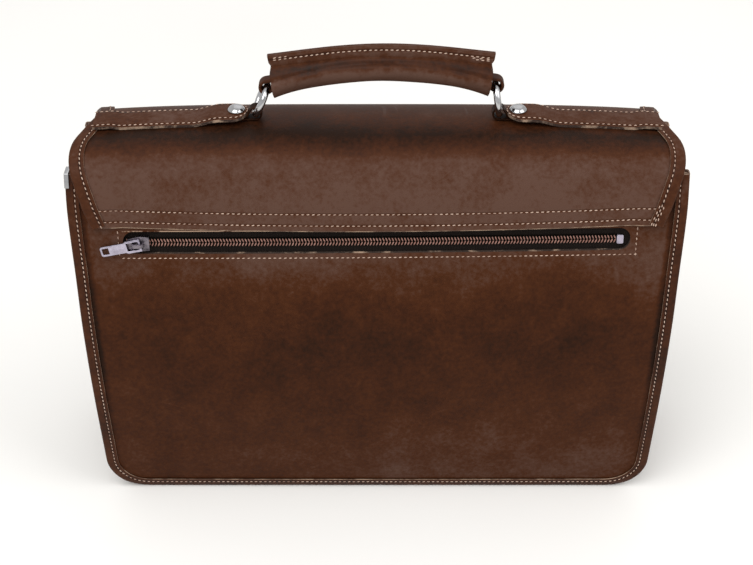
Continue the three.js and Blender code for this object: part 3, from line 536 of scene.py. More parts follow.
@dataclass(frozen=True)
class Leather(Finish):
    """Oiled leather with bands of tone along its height or a row, which paint light and shade, with grain,
    clouds, scratches and sunk stitch rows.
    """

    deep: Colour = (0.014, 0.0052, 0.0022)
    middle: Colour = (0.037, 0.0108, 0.0036)
    warm: Colour = (0.053, 0.0158, 0.0048)
    # The palest tone is greyish: partly the leather's colour, partly painted sheen on the lightest bands.
    pale: Colour = (0.082, 0.041, 0.028)
    bands: tuple[tuple[float, float], ...] = ((0.0, 0.55), (1.0, 0.5))
    span: float = 0.3
    by_row: bool = False
    clouds: float = 9.0
    roughness: float = 0.5
    grain: float = 1100.0
    grooves: tuple[float, ...] = ()
    gloss: float = 0.2
    # Turns on the painted shadow at the edge strips and the raw edge and painted highlight on the window's
    # upper lip.
    dark_rim: bool = False
    bare: Colour = (0.40, 0.27, 0.19)
    cloud_share: float = 0.7
    patch_share: float = 0.5
    mottle_share: float = 0.7
    scratch_share: float = 0.09
    groove_share: float = 0.3
    rim_share: float = 0.42
    places: tuple[float, float, float, float] = (0.1, 0.42, 0.62, 0.95)

    def sockets(self, bench: Bench, place: Wire) -> dict[str, Value]:
        """What the shader is given."""
        cloud = bench.noise(place, self.clouds, 4, 0.6)
        patch = bench.noise(place, self.clouds * 5, 3, 0.6)
        mottle = bench.noise(place, 320, 4, 0.65)
        source = bench.attribute("row") if self.by_row else bench.axis(place, "Z")
        uneven = source * (1 / self.span) + (cloud - 0.5) * 0.14
        stops = [(at, (tone, tone, tone)) for at, tone in self.bands]
        band = bench.ramp(uneven, stops)
        tone = bench.axis(band, "X") + (cloud - 0.5) * self.cloud_share
        tone = tone + (patch - 0.5) * self.patch_share + (mottle - 0.5) * self.mottle_share
        scratch = self._scratches(bench, place)
        pores = bench.cells(place, self.grain)
        tone = tone + scratch * self.scratch_share
        # Sunk stitch lines are darkened: partly pressed leather, partly painted shade in the groove.
        groove = self._groove(bench)
        if groove is not None:
            tone = tone - groove * self.groove_share
        # Painted shadow along the gap where the panel dives under its edge strips.
        if self.dark_rim:
            tone = tone - self._rim_shade(bench, place) * self.rim_share
        colour = bench.ramp(tone, list(zip(self.places, (self.deep, self.middle, self.warm, self.pale))))
        # Raw leather and painted highlight in a broken line on the window's upper lip.
        if self.dark_rim:
            colour = bench.mix(self._lip_raw_edge_and_highlight(bench, place), colour, (*self.bare, 1.0))
        creases = bench.noise(bench.mapped(place, (60, 60, 150), (0.2, 0.5, 0.1)), 1.0, 5, 0.7)
        rough = self.roughness + (mottle - 0.5) * 0.22 + (cloud - 0.5) * 0.18 - scratch * 0.08
        normal = bench.bump(pores + mottle * 0.5, 0.22, 0.00025)
        normal = bench.bump(creases, 0.25, 0.0012, normal)
        if groove is not None:
            normal = bench.bump(1 - groove, 0.6, 0.0006, normal)
        return dict(Base_Color=colour, Roughness=rough, Normal=normal, Specular_IOR_Level=self.gloss)

    def _rim_shade(self, bench: Bench, place: Wire) -> Wire:
        """Painted shadow: 1 where a panel dives under its edge strip, 0 away from it."""
        height = bench.axis(place, "Z")
        half = FORM.bottom_width / 2 * MM
        growth = (FORM.top_width - FORM.bottom_width) / 2 / FORM.panel_height
        strip = FORM.binding_width * MM
        inwards = height * growth + half - abs(bench.axis(place, "X"))
        side_gap_shadow = inwards.step(strip + 0.005, strip + 0.001) * height.step(0.0, 0.16)
        return side_gap_shadow + height.step(strip + 0.004, strip + 0.001) * 0.5

    def _lip_raw_edge_and_highlight(self, bench: Bench, place: Wire) -> Wire:
        """1 in a thin broken line along the window's upper edge: raw leather, and painted highlight where the
        buckled lip catches light.
        """
        x, y, z = (bench.axis(place, axis) for axis in "XYZ")
        middle, edge = FORM.zip_point(0, 0, 0)[2] * MM, FORM.window_height / 2 * MM
        up = z - x * FORM.zip_slope - float(middle)
        line = up.step(edge - 0.0002, edge + 0.0001) * up.step(edge + 0.0009, edge + 0.0005)
        left = FORM.window_left * MM
        span = x.step(left - 0.001, left) * x.step(0.14, 0.08) * y.step(-0.03, -0.04)
        broken_line_mask = bench.noise(place, 45, 4, 0.75).step(0.42, 0.52)
        return line * span * broken_line_mask

    def _scratches(self, bench: Bench, place: Wire) -> Wire:
        """Thin pale scratches in two directions, in a few patches."""
        strokes = []
        for turn, rare in (((0.1, 0.55, 0.0), 0.60), ((0.0, -0.35, 0.3), 0.62)):
            line = bench.noise(bench.mapped(place, (9, 9, 420), turn), 1.0, 2, 0.5)
            where = bench.noise(place, 24 + 10 * rare, 2, 0.5)
            strokes.append(line.step(0.60, 0.70) * where.step(rare - 0.05, rare + 0.08))
        return strokes[0] + strokes[1]

    def _groove(self, bench: Bench) -> Optional[Wire]:
        """1 in the sunk line under a stitch row, 0 away from it."""
        if not self.grooves:
            return None
        row = bench.attribute("row")
        parts = [abs(row - at).step(1.3, 0.2) for at in self.grooves]
        return sum(parts[1:], parts[0])


@dataclass(frozen=True)
class RawEdge(Finish):
    """The cut edge of the hide: pale fibres, rubbed dark in places."""

    dark: Colour = (0.10, 0.052, 0.032)
    pale: Colour = (0.42, 0.29, 0.20)
    worn: tuple[float, float] = (0.38, 0.62)

    def sockets(self, bench: Bench, place: Wire) -> dict[str, Value]:
        """What the shader is given."""
        rub = bench.noise(place, 70, 4, 0.7)
        fibre = bench.noise(place, 1500, 3, 0.7)
        mask = rub.step(*self.worn) * 0.8 + (fibre - 0.5) * 0.5
        colour = bench.ramp(mask, [(0.0, self.dark), (0.85, self.pale)])
        normal = bench.bump(fibre, 0.5, 0.0004)
        return dict(Base_Color=colour, Roughness=0.9 - rub * 0.1, Normal=normal)


@dataclass(frozen=True)
class Thread(Finish):
    """Waxed linen thread."""

    pale: Colour = (0.50, 0.36, 0.28)
    dusk: Colour = (0.24, 0.14, 0.10)

    def sockets(self, bench: Bench, place: Wire) -> dict[str, Value]:
        """What the shader is given."""
        dirt = bench.noise(place, 55, 3, 0.6)
        ply = bench.noise(bench.mapped(place, (900, 900, 2600), (0.4, 0.6, 0.2)), 1.0, 2, 0.5)
        colour = bench.ramp(dirt * 0.9 + (ply - 0.5) * 0.3, [(0.28, self.dusk), (0.52, self.pale)])
        rough = 0.75 + (ply - 0.5) * 0.2
        return dict(Base_Color=colour, Roughness=rough, Normal=bench.bump(ply, 0.4, 0.0003))


@dataclass(frozen=True)
class Metal(Finish):
    """Nickel plate with fine scuffs and duller patches; on the slider, its dark tint and near-black patches
    are painted dark reflections and shade.
    """

    tint: Colour = (0.50, 0.50, 0.51)
    shade: Colour = (0.40, 0.40, 0.40)
    roughness: float = 0.13

    def sockets(self, bench: Bench, place: Wire) -> dict[str, Value]:
        """What the shader is given."""
        dull_and_painted_reflection = bench.noise(place, 160, 4, 0.6)
        scuff = bench.noise(bench.mapped(place, (300, 300, 5200), (0.5, 0.7, 0.3)), 1.0, 3, 0.6)
        colour = bench.ramp(dull_and_painted_reflection, [(0.3, self.shade), (0.6, self.tint)])
        rough = self.roughness + (dull_and_painted_reflection - 0.5) * 0.25 + scuff.step(0.5, 0.8) * 0.2
        normal = bench.bump(scuff, 0.12, 0.0002)
        return dict(Base_Color=colour, Metallic=1.0, Roughness=rough, Normal=normal)


@dataclass(frozen=True)
class Coil(Finish):
    """Dark nylon of the zip's teeth, with pale pinkish dusty patches that are partly painted highlight."""

    dark: Colour = (0.19, 0.085, 0.062)
    # Pale pinkish colour: partly dusty nylon, partly painted highlight on the teeth.
    dust: Colour = (0.36, 0.20, 0.16)
    gloss: float = 0.5

    def sockets(self, bench: Bench, place: Wire) -> dict[str, Value]:
        """What the shader is given."""
        dust = bench.noise(place, 400, 4, 0.7)
        colour = bench.ramp(dust, [(0.42, self.dark), (0.75, self.dust)])
        return dict(
            Base_Color=colour,
            Roughness=0.26 + dust * 0.2,
            Normal=bench.bump(dust, 0.15, 0.0003),
            Specular_IOR_Level=self.gloss,
        )


@dataclass(frozen=True)
class Tape(Finish):
    """Woven cotton tape of the zip."""

    dark: Colour = (0.005, 0.0035, 0.003)
    pale: Colour = (0.020, 0.013, 0.010)

    def sockets(self, bench: Bench, place: Wire) -> dict[str, Value]:
        """What the shader is given."""
        threads = []
        for direction, scale in (("X", 300), ("Z", 420)):
            settings = {"wave_type": "BANDS", "bands_direction": direction}
            values = {"Vector": place, "Scale": scale, "Distortion": 0.6}
            threads.append(bench.wire("ShaderNodeTexWave", values, settings, "Fac"))
        weave = threads[0] * threads[1]
        fluff = bench.noise(place, 700, 3, 0.7)
        colour = bench.ramp(weave * 0.6 + fluff * 0.4, [(0.2, self.dark), (0.75, self.pale)])
        rough = 0.92 - fluff * 0.1
        normal = bench.bump(weave, 0.6, 0.0003)
        return dict(Base_Color=colour, Roughness=rough, Normal=normal, Specular_IOR_Level=0.12)


@dataclass(frozen=True)
class Ground(Finish):
    """Pale plain card."""

    pale: Colour = (0.86, 0.848, 0.822)
    cream: Colour = (0.82, 0.805, 0.775)

    def sockets(self, bench: Bench, place: Wire) -> dict[str, Value]:
        """What the shader is given."""
        soft = bench.noise(place, 1.6, 2, 0.5)
        colour = bench.ramp(soft, [(0.3, self.cream), (0.7, self.pale)])
        return dict(Base_Color=colour, Roughness=0.8 + (soft - 0.5) * 0.1)


def even(tone: float) -> tuple[tuple[float, float], ...]:
    """Bands of one tone all over."""
    return (0.0, tone), (1.0, tone)


# Painted light and shade along the flap, by row from its tail: pale near the tail, a painted dark band on the
# rear slope below the crest, mid tone over the crest and front.
FLAP_LIGHT_AND_SHADE_BANDS = (
    (0.0, 0.84),
    (0.1, 0.92),
    (0.24, 0.84),
    (0.34, 0.68),
    (0.41, 0.34),
    (0.475, 0.08),
    (0.55, 0.34),
    (0.63, 0.6),
    (1.0, 0.55),
)
# Painted light and shade up the panels: lighter at the bottom, where it reflects the floor, darker across the
# middle, and a paler band around the zip.
PANEL_LIGHT_AND_SHADE_BANDS = (
    (0.0, 0.66),
    (0.14, 0.6),
    (0.3, 0.5),
    (0.45, 0.43),
    (0.58, 0.52),
    (0.7, 0.8),
    (0.78, 0.7),
    (1.0, 0.55),
)
SEAM_BANDS = ((0.0, 0.5), (0.5, 0.45), (0.8, 0.55), (1.0, 0.6))
# Painted light and shade round the grip, by row from the fin's top: a painted shadow in the crease under the
# fin and a painted highlight on the side of the roll.
GRIP_SHADOW_AND_HIGHLIGHT_BANDS = (
    (0.0, 0.72),
    (0.13, 0.76),
    (0.2, 0.58),
    (0.27, 0.3),
    (0.34, 0.44),
    (0.44, 0.88),
    (0.52, 1.0),
    (0.64, 0.95),
    (0.8, 0.6),
    (1.0, 0.5),
)
FINISHES = {
    "panel": Leather("panel_leather", bands=PANEL_LIGHT_AND_SHADE_BANDS, gloss=0.06, dark_rim=True),
    "flap": Leather(
        "flap_leather", bands=FLAP_LIGHT_AND_SHADE_BANDS, span=150.0, by_row=True, grooves=(4.6, 12.6), gloss=0.1
    ),
    "seam": Leather("seam_leather", bands=SEAM_BANDS, grooves=(4.6,), clouds=22, gloss=0.1),
    "flap_seam": Leather("flap_seam_leather", bands=SEAM_BANDS, grooves=(5.8,), clouds=22, gloss=0.1),
    "strap": Leather("strap_leather", bands=even(0.7), grooves=(8.7,), clouds=30, gloss=0.08),
    "handle": Leather(
        "handle_leather", bands=GRIP_SHADOW_AND_HIGHLIGHT_BANDS, span=45.0, by_row=True, grooves=(3.2,), clouds=26, gloss=0.12
    ),
    "loop": Leather("loop_leather", bands=even(0.5), clouds=40, gloss=0.1),
    "raw": RawEdge("raw_edge"),
    "strap_edge": RawEdge("strap_edge", dark=(0.03, 0.013, 0.008), worn=(0.44, 0.66)),
    # The ring tabs are nearly black: painted shadow at the base of the rings.
    "tab": Leather("tab_painted_shadow_leather", bands=even(0.2), clouds=40, gloss=0.05),
    "lip": RawEdge("lip_edge", dark=(0.02, 0.010, 0.006), worn=(0.5, 0.72)),
    "thread": Thread("thread"),
    "bright": Metal("bright_nickel"),
    "zip_metal": Metal("zip_nickel", tint=(0.46, 0.43, 0.52), shade=(0.30, 0.27, 0.33), roughness=0.24),
    # The slider's dark tint and near-black patches are painted dark reflections and shade.
    "slider": Metal("slider_nickel", tint=(0.22, 0.195, 0.22), shade=(0.02, 0.017, 0.02), roughness=0.3),
    "coil": Coil("coil_nylon"),
    # The core's near-black colour is partly dark nylon and partly painted shade between the teeth.
    "coil_core": Coil("coil_core_nylon", dark=(0.002, 0.0015, 0.001), dust=(0.006, 0.004, 0.003), gloss=0.03),
    "tape": Tape("zip_tape_cloth"),
    "ground": Ground("ground_card"),
}


class Finishes:
    """Every material of the case, made once."""

    def __init__(self) -> None:
        """Builds the materials."""
        self.made = {name: finish.material() for name, finish in FINISHES.items()}

    def __getattr__(self, name: str) -> bpy.types.Material:
        """The material of this name."""
        return self.made[name]


# Meshes

SHEET_SHARP = 38.0
TUBE_SHARP = 50.0
RIBBON_POWER = 0.35
MERGE = 0.002


def add_piece(name: str, mesh: bpy.types.Mesh) -> bpy.types.Object:
    """Puts a mesh in the scene under its name."""
    piece = bpy.data.objects.new(name, mesh)
    bpy.context.scene.collection.objects.link(piece)
    return piece


def build_piece(
    name: str,
    points: Points,
    faces: Sequence[Sequence[int]],
    materials: Sequence[bpy.types.Material],
    rims: int = 0,
    row: Optional[Points] = None,
    sharp: float = SHEET_SHARP,
) -> bpy.types.Object:
    """Makes a piece of points in metres and faces.

    Args:
        name: The piece's name.
        points: One row of x, y, z for each vertex.
        faces: Each face's vertices.
        materials: Its materials; the second one goes on the last faces.
        rims: How many of the last faces take the second material.
        row: A number for each vertex, kept as the attribute row.
        sharp: Edges that turn by more than this many degrees stay sharp.

    Returns:
        The piece.
    """
    mesh = bpy.data.meshes.new(name)
    corners = [list(map(int, face)) for face in faces]
    mesh.from_pydata(np.asarray(points, float).reshape(-1, 3).tolist(), [], corners)
    for material in materials:
        mesh.materials.append(material)
    if rims and len(materials) > 1:
        index = np.zeros(len(mesh.polygons), np.int32)
        index[-rims:] = 1
        mesh.polygons.foreach_set("material_index", index)
    if row is not None:
        kept = mesh.attributes.new("row", "FLOAT", "POINT")
        kept.data.foreach_set("value", np.asarray(row, np.float32).ravel())
    turn_outwards(mesh)
    mesh.shade_smooth()
    mesh.set_sharp_from_angle(angle=math.radians(sharp))
    return add_piece(name, mesh)


def turn_outwards(mesh: bpy.types.Mesh) -> None:
    """Turns every face of a closed mesh outwards."""
    work = bmesh.new()
    work.from_mesh(mesh)
    if work.calc_volume(signed=True) < 0:
        bmesh.ops.reverse_faces(work, faces=work.faces)
    work.to_mesh(mesh)
    work.free()


def grid_quads(grid: Points) -> Points:
    """The four corners of each cell of a grid of vertex numbers."""
    return np.stack([grid[:-1, :-1], grid[:-1, 1:], grid[1:, 1:], grid[1:, :-1]], -1).reshape(-1, 4)


def full_turn(steps: int) -> Points:
    """Angles once round, in even steps."""
    return np.arange(steps) / steps * 2 * math.pi


def shell_faces(rows: int, columns: int) -> tuple[Points, int]:
    """Faces of a sheet between two grids: the outer one first, then the inner one.

    Args:
        rows: Rows of each grid.
        columns: Columns of each grid.

    Returns:
        The faces, the rim's last, and how many the rim has.
    """
    grid = np.arange(rows * columns).reshape(rows, columns)
    gap = rows * columns
    front = grid_quads(grid)
    lines = [grid[0], grid[-1][::-1], grid[:, 0][::-1], grid[:, -1]]
    rims = [np.stack([line[1:], line[:-1], line[:-1] + gap, line[1:] + gap], -1) for line in lines]
    rim = np.concatenate(rims)
    return np.concatenate([front, front[:, ::-1] + gap, rim]), len(rim)


def shell(
    name: str,
    outer: Points,
    inner: Points,
    materials: Sequence[bpy.types.Material],
    row: Optional[Points] = None,
) -> bpy.types.Object:
    """A sheet of leather or cloth between two grids of points in the case's millimetres."""
    rows, columns = outer.shape[:2]
    faces, rims = shell_faces(rows, columns)
    points = FORM.to_frame(np.concatenate([outer.reshape(-1, 3), inner.reshape(-1, 3)]))
    both = None if row is None else np.concatenate([row.ravel(), row.ravel()])
    return build_piece(name, points, faces, materials, rims, both)


def tube(name: str, rings: Points, material: bpy.types.Material, closed: bool = False) -> bpy.types.Object:
    """A solid that follows rings of points in the case's millimetres, with two ends unless it is closed."""
    count, sides = rings.shape[:2]
    grid = np.arange(count * sides).reshape(count, sides)
    wrapped = np.concatenate([grid, grid[:1]]) if closed else grid
    wrapped = np.concatenate([wrapped, wrapped[:, :1]], 1)
    faces = [list(face) for face in grid_quads(wrapped)]
    if not closed:
        faces += [list(grid[0][::-1]), list(grid[-1])]
    return build_piece(name, FORM.to_frame(rings), faces, [material], sharp=TUBE_SHARP)


def ribbon_rings(path: Points, width: Points, thickness: float, sides: int = 20) -> Points:
    """Rounded-rectangle rings of a strap whose path lies in X and Z.

    Args:
        path: The path's x and z, in mm.
        width: The strap's width across Y at each point.
        thickness: The strap's thickness.
        sides: Points round each ring.

    Returns:
        The rings.
    """
    slope = directions(path)
    angle = full_turn(sides) + math.pi / sides
    flat, tall = (np.sign(side) * np.abs(side) ** RIBBON_POWER for side in (np.cos(angle), np.sin(angle)))
    across = flat[None, :] * np.asarray(width)[:, None] / 2
    out = tall[None, :] * thickness / 2
    x = path[:, :1] - slope[:, 1:] * out
    z = path[:, 1:] + slope[:, :1] * out
    return np.stack([x, across, z], -1)


def smooth_path(points: Sequence[tuple[float, float]], steps: int) -> Points:
    """A smooth path through a few points, in even steps."""
    listed = np.asarray(points, float)
    at = lengths(listed)
    read = np.linspace(0, at[-1], steps)
    return np.stack([Curve(at, listed[:, 0])(read), Curve(at, listed[:, 1])(read)], 1)


def refined_node(node: str, name: str, bevel: float, material: bpy.types.Material) -> bpy.types.Object:
    """A copy of a CAD node with its loose triangles merged and its edges rounded.

    Args:
        node: The CAD node.
        name: The new piece's name.
        bevel: The rounding's width in mm.
        material: Its finish.

    Returns:
        The piece.
    """
    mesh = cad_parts[node].data.copy()
    work = bmesh.new()
    work.from_mesh(mesh)
    bmesh.ops.remove_doubles(work, verts=work.verts, dist=MERGE * MM)
    bmesh.ops.dissolve_limit(work, angle_limit=math.radians(1), verts=work.verts, edges=work.edges)
    work.to_mesh(mesh)
    work.free()
    mesh.materials.clear()
    mesh.materials.append(material)
    piece = add_piece(name, mesh)
    rounding = piece.modifiers.new("rounding", "BEVEL")
    rounding.width = bevel * MM
    rounding.segments = 3
    rounding.limit_method = "ANGLE"
    rounding.angle_limit = math.radians(25)
    apply_modifiers(piece)
    piece.data.shade_smooth()
    piece.data.set_sharp_from_angle(angle=math.radians(35))
    return piece


def apply_modifiers(piece: bpy.types.Object) -> None:
    """Makes the evaluated shape the piece's own mesh."""
    graph = bpy.context.evaluated_depsgraph_get()
    made = bpy.data.meshes.new_from_object(piece.evaluated_get(graph), depsgraph=graph)
    piece.modifiers.clear()
    piece.data = made


def settle(piece: bpy.types.Object, slot: Slot, *nodes: str, body: Body = Body.CASE) -> None:
    """Says what a piece rides on and which CAD nodes it stands for, and hides those nodes."""
    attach(piece, body.value)
    if nodes:
        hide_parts(*nodes)
    log.info("%s: %d faces", piece.name, len(piece.data.polygons))


# Repeats


@dataclass
class Row:
    """One line that stitches or teeth follow, with the direction out of the surface at each point."""

    points: Points
    out: Points


def row_on(line: Points, above: Points) -> Row:
    """A row along points of a surface, given the same points 1 mm out of it."""
    out = above - line
    return Row(FORM.to_frame(line), out / np.linalg.norm(out, axis=1, keepdims=True))


def row_along(
    surface: Callable[..., Points], *place: object, n: Union[float, Points] = 0.0, step: float = 1.0
) -> Row:
    """A row along places of one of the form's surfaces, n mm out of it, that faces towards step."""
    return row_on(surface(*place, n), surface(*place, n + step))


@dataclass
class RepeatTree:
    """A Geometry Nodes tree that puts one small rounded piece after another along lines."""

    name: str = "pieces_along_lines"
    segments: int = 6
    rings: int = 4
    tilt: float = 0.16

    def __post_init__(self) -> None:
        """Builds the tree."""
        self.tree = bpy.data.node_groups.new(self.name, "GeometryNodeTree")
        self.tree.is_modifier = True
        face = self.tree.interface
        face.new_socket("Geometry", in_out="OUTPUT", socket_type="NodeSocketGeometry")
        face.new_socket("Lines", in_out="INPUT", socket_type="NodeSocketGeometry")
        for label in ("Pitch", "Length", "Width", "Height", "Lift", "Turn", "Unevenness"):
            face.new_socket(label, in_out="INPUT", socket_type="NodeSocketFloat")
        face.new_socket("Seed", in_out="INPUT", socket_type="NodeSocketInt")
        face.new_socket("Finish", in_out="INPUT", socket_type="NodeSocketMaterial")
        self.inputs = {item.name: item.identifier for item in face.items_tree if item.in_out == "INPUT"}
        self._wire()

    def _add(
        self, kind: str, values: Optional[Inputs] = None, settings: Optional[Settings] = None, output: int = 0
    ) -> bpy.types.NodeSocket:
        """Adds a node and returns one of its outputs."""
        return add_node(self.tree, kind, values, settings).outputs[output]

    def _turn(self, source: bpy.types.bpy_prop_collection, out: bpy.types.NodeSocket) -> bpy.types.NodeSocket:
        """The turn of each piece: along the line, upright, and a little off in each its own way."""
        tangent = self._add("GeometryNodeInputTangent")
        along = self._add("FunctionNodeAlignRotationToVector", {"Vector": tangent}, {"axis": "X"})
        values = {"Rotation": along, "Vector": out}
        upright = self._add("FunctionNodeAlignRotationToVector", values, {"axis": "Z", "pivot_axis": "X"})
        values = {2: -self.tilt, 3: self.tilt, "Seed": source["Seed"]}
        tilt = self._add("FunctionNodeRandomValue", values, {"data_type": "FLOAT"}, 1)
        wander = self._add("ShaderNodeMath", {0: tilt, 1: source["Unevenness"]}, {"operation": "MULTIPLY"})
        angle = self._add("ShaderNodeMath", {0: wander, 1: source["Turn"]}, {"operation": "ADD"})
        turn = self._add("ShaderNodeCombineXYZ", {2: angle})
        euler = self._add("FunctionNodeEulerToRotation", {0: turn})
        values = {"Rotation": upright, "Rotate By": euler}
        return self._add("FunctionNodeRotateRotation", values, {"rotation_space": "LOCAL"})

    def _wire(self) -> None:
        """Joins the nodes up."""
        source = self.tree.nodes.new("NodeGroupInput").outputs
        curve = self._add("GeometryNodeMeshToCurve", {"Mesh": source["Lines"]})
        values = {"Curve": curve, "Length": source["Pitch"]}
        spaced = self._add("GeometryNodeResampleCurve", values, {"mode": "LENGTH"})
        out = self._add("GeometryNodeInputNamedAttribute", {"Name": "out"}, {"data_type": "FLOAT_VECTOR"})
        lift = self._add("ShaderNodeVectorMath", {0: out, "Scale": source["Lift"]}, {"operation": "SCALE"})
        raised = self._add("GeometryNodeSetPosition", {"Geometry": spaced, "Offset": lift})
        turned = self._turn(source, out)
        halves = [
            self._add("ShaderNodeMath", {0: source[label], 1: 0.5}, {"operation": "MULTIPLY"})
            for label in ("Length", "Width", "Height")
        ]
        size = self._add("ShaderNodeCombineXYZ", dict(enumerate(halves)))
        values = {"Segments": self.segments, "Rings": self.rings, "Radius": 1.0}
        ball = self._add("GeometryNodeMeshUVSphere", values)
        lying = self._add("GeometryNodeTransform", {"Geometry": ball, "Rotation": (0, math.pi / 2, 0)})
        values = {"Points": raised, "Instance": lying, "Rotation": turned, "Scale": size}
        placed = self._add("GeometryNodeInstanceOnPoints", values)
        real = self._add("GeometryNodeRealizeInstances", {0: placed})
        smooth = self._add("GeometryNodeSetShadeSmooth", {0: real})
        dressed = self._add("GeometryNodeSetMaterial", {"Geometry": smooth, "Material": source["Finish"]})
        add_node(self.tree, "NodeGroupOutput", {0: dressed})

    def run(
        self, name: str, rows: Sequence[Row], material: bpy.types.Material, sizes: dict[str, float]
    ) -> bpy.types.Object:
        """Lays the pieces along rows.

        Args:
            name: The new piece's name.
            rows: The lines.
            material: The finish.
            sizes: Pitch, Length, Width, Height and Lift in mm, Turn in radians, and Unevenness.

        Returns:
            The piece, as a plain mesh.
        """
        mesh = bpy.data.meshes.new(name)
        points = np.concatenate([row.points for row in rows])
        edges = []
        start = 0
        for row in rows:
            count = len(row.points)
            edges += [(start + k, start + k + 1) for k in range(count - 1)]
            start += count
        mesh.from_pydata(points.tolist(), edges, [])
        kept = mesh.attributes.new("out", "FLOAT_VECTOR", "POINT")
        kept.data.foreach_set("vector", np.concatenate([row.out for row in rows]).astype(np.float32).ravel())
        piece = add_piece(name, mesh)
        modifier = piece.modifiers.new("pieces", "NODES")
        modifier.node_group = self.tree
        for label, value in sizes.items():
            modifier[self.inputs[label]] = float(value if label in ("Turn", "Unevenness") else value * MM)
        modifier[self.inputs["Seed"]] = SEED
        modifier[self.inputs["Finish"]] = material
        apply_modifiers(piece)
        return piece


STITCH = {
    "Pitch": 3.45,
    "Length": 2.15,
    "Width": 0.78,
    "Height": 0.7,
    "Lift": 0.06,
    "Turn": 0.13,
    "Unevenness": 1.0,
}


# Sub-assemblies


def edge_strip_section(width: float, gap: float, stack: float, corner: float = 1.6) -> tuple[Points, Points]:
    """The folded strip's rounded section.

    Args:
        width: How far its arms reach in.
        gap: How far its skin is from the leather inside it.
        stack: The thickness inside it.
        corner: The rounding of its fold.

    Returns:
        The distance in from the edge and out from the outer face, for each point of the section.
    """
    angle = np.linspace(0, math.pi / 2, 5)
    arm = np.array([width, width * 0.8, width * 0.6, width * 0.4, corner - gap + 0.4])
    w = np.concatenate([arm, corner - gap - corner * np.sin(angle)])
    n = np.concatenate([np.full(5, gap), gap - corner * (1 - np.cos(angle))])
    n[0] -= 0.25 * (gap > 1)
    return np.concatenate([w, w[::-1]]), np.concatenate([n, -stack - n[::-1]])


def edge_strip(
    name: str,
    node: str,
    point: Callable[[float, float], Points],
    width: float,
    stack: float,
    materials: Sequence[bpy.types.Material],
) -> None:
    """A folded strip round an edge of leather.

    Args:
        name: The piece's name.
        node: The CAD node that it stands for.
        point: The points all along the edge, so far in from it and so far out.
        width: How far the strip reaches in.
        stack: The thickness inside it.
        materials: Its skin's finish and its raw edge's.
    """
    skins = []
    for gap in (FORM.strip_top, FORM.soft_clearance):
        w, n = edge_strip_section(width, gap, stack)
        skins.append(np.stack([point(a, b) for a, b in zip(w, n)], 1))
    row = np.broadcast_to(w[None, :], skins[0].shape[:2])
    settle(shell(name, *skins, materials, row), Slot.EDGE, node)


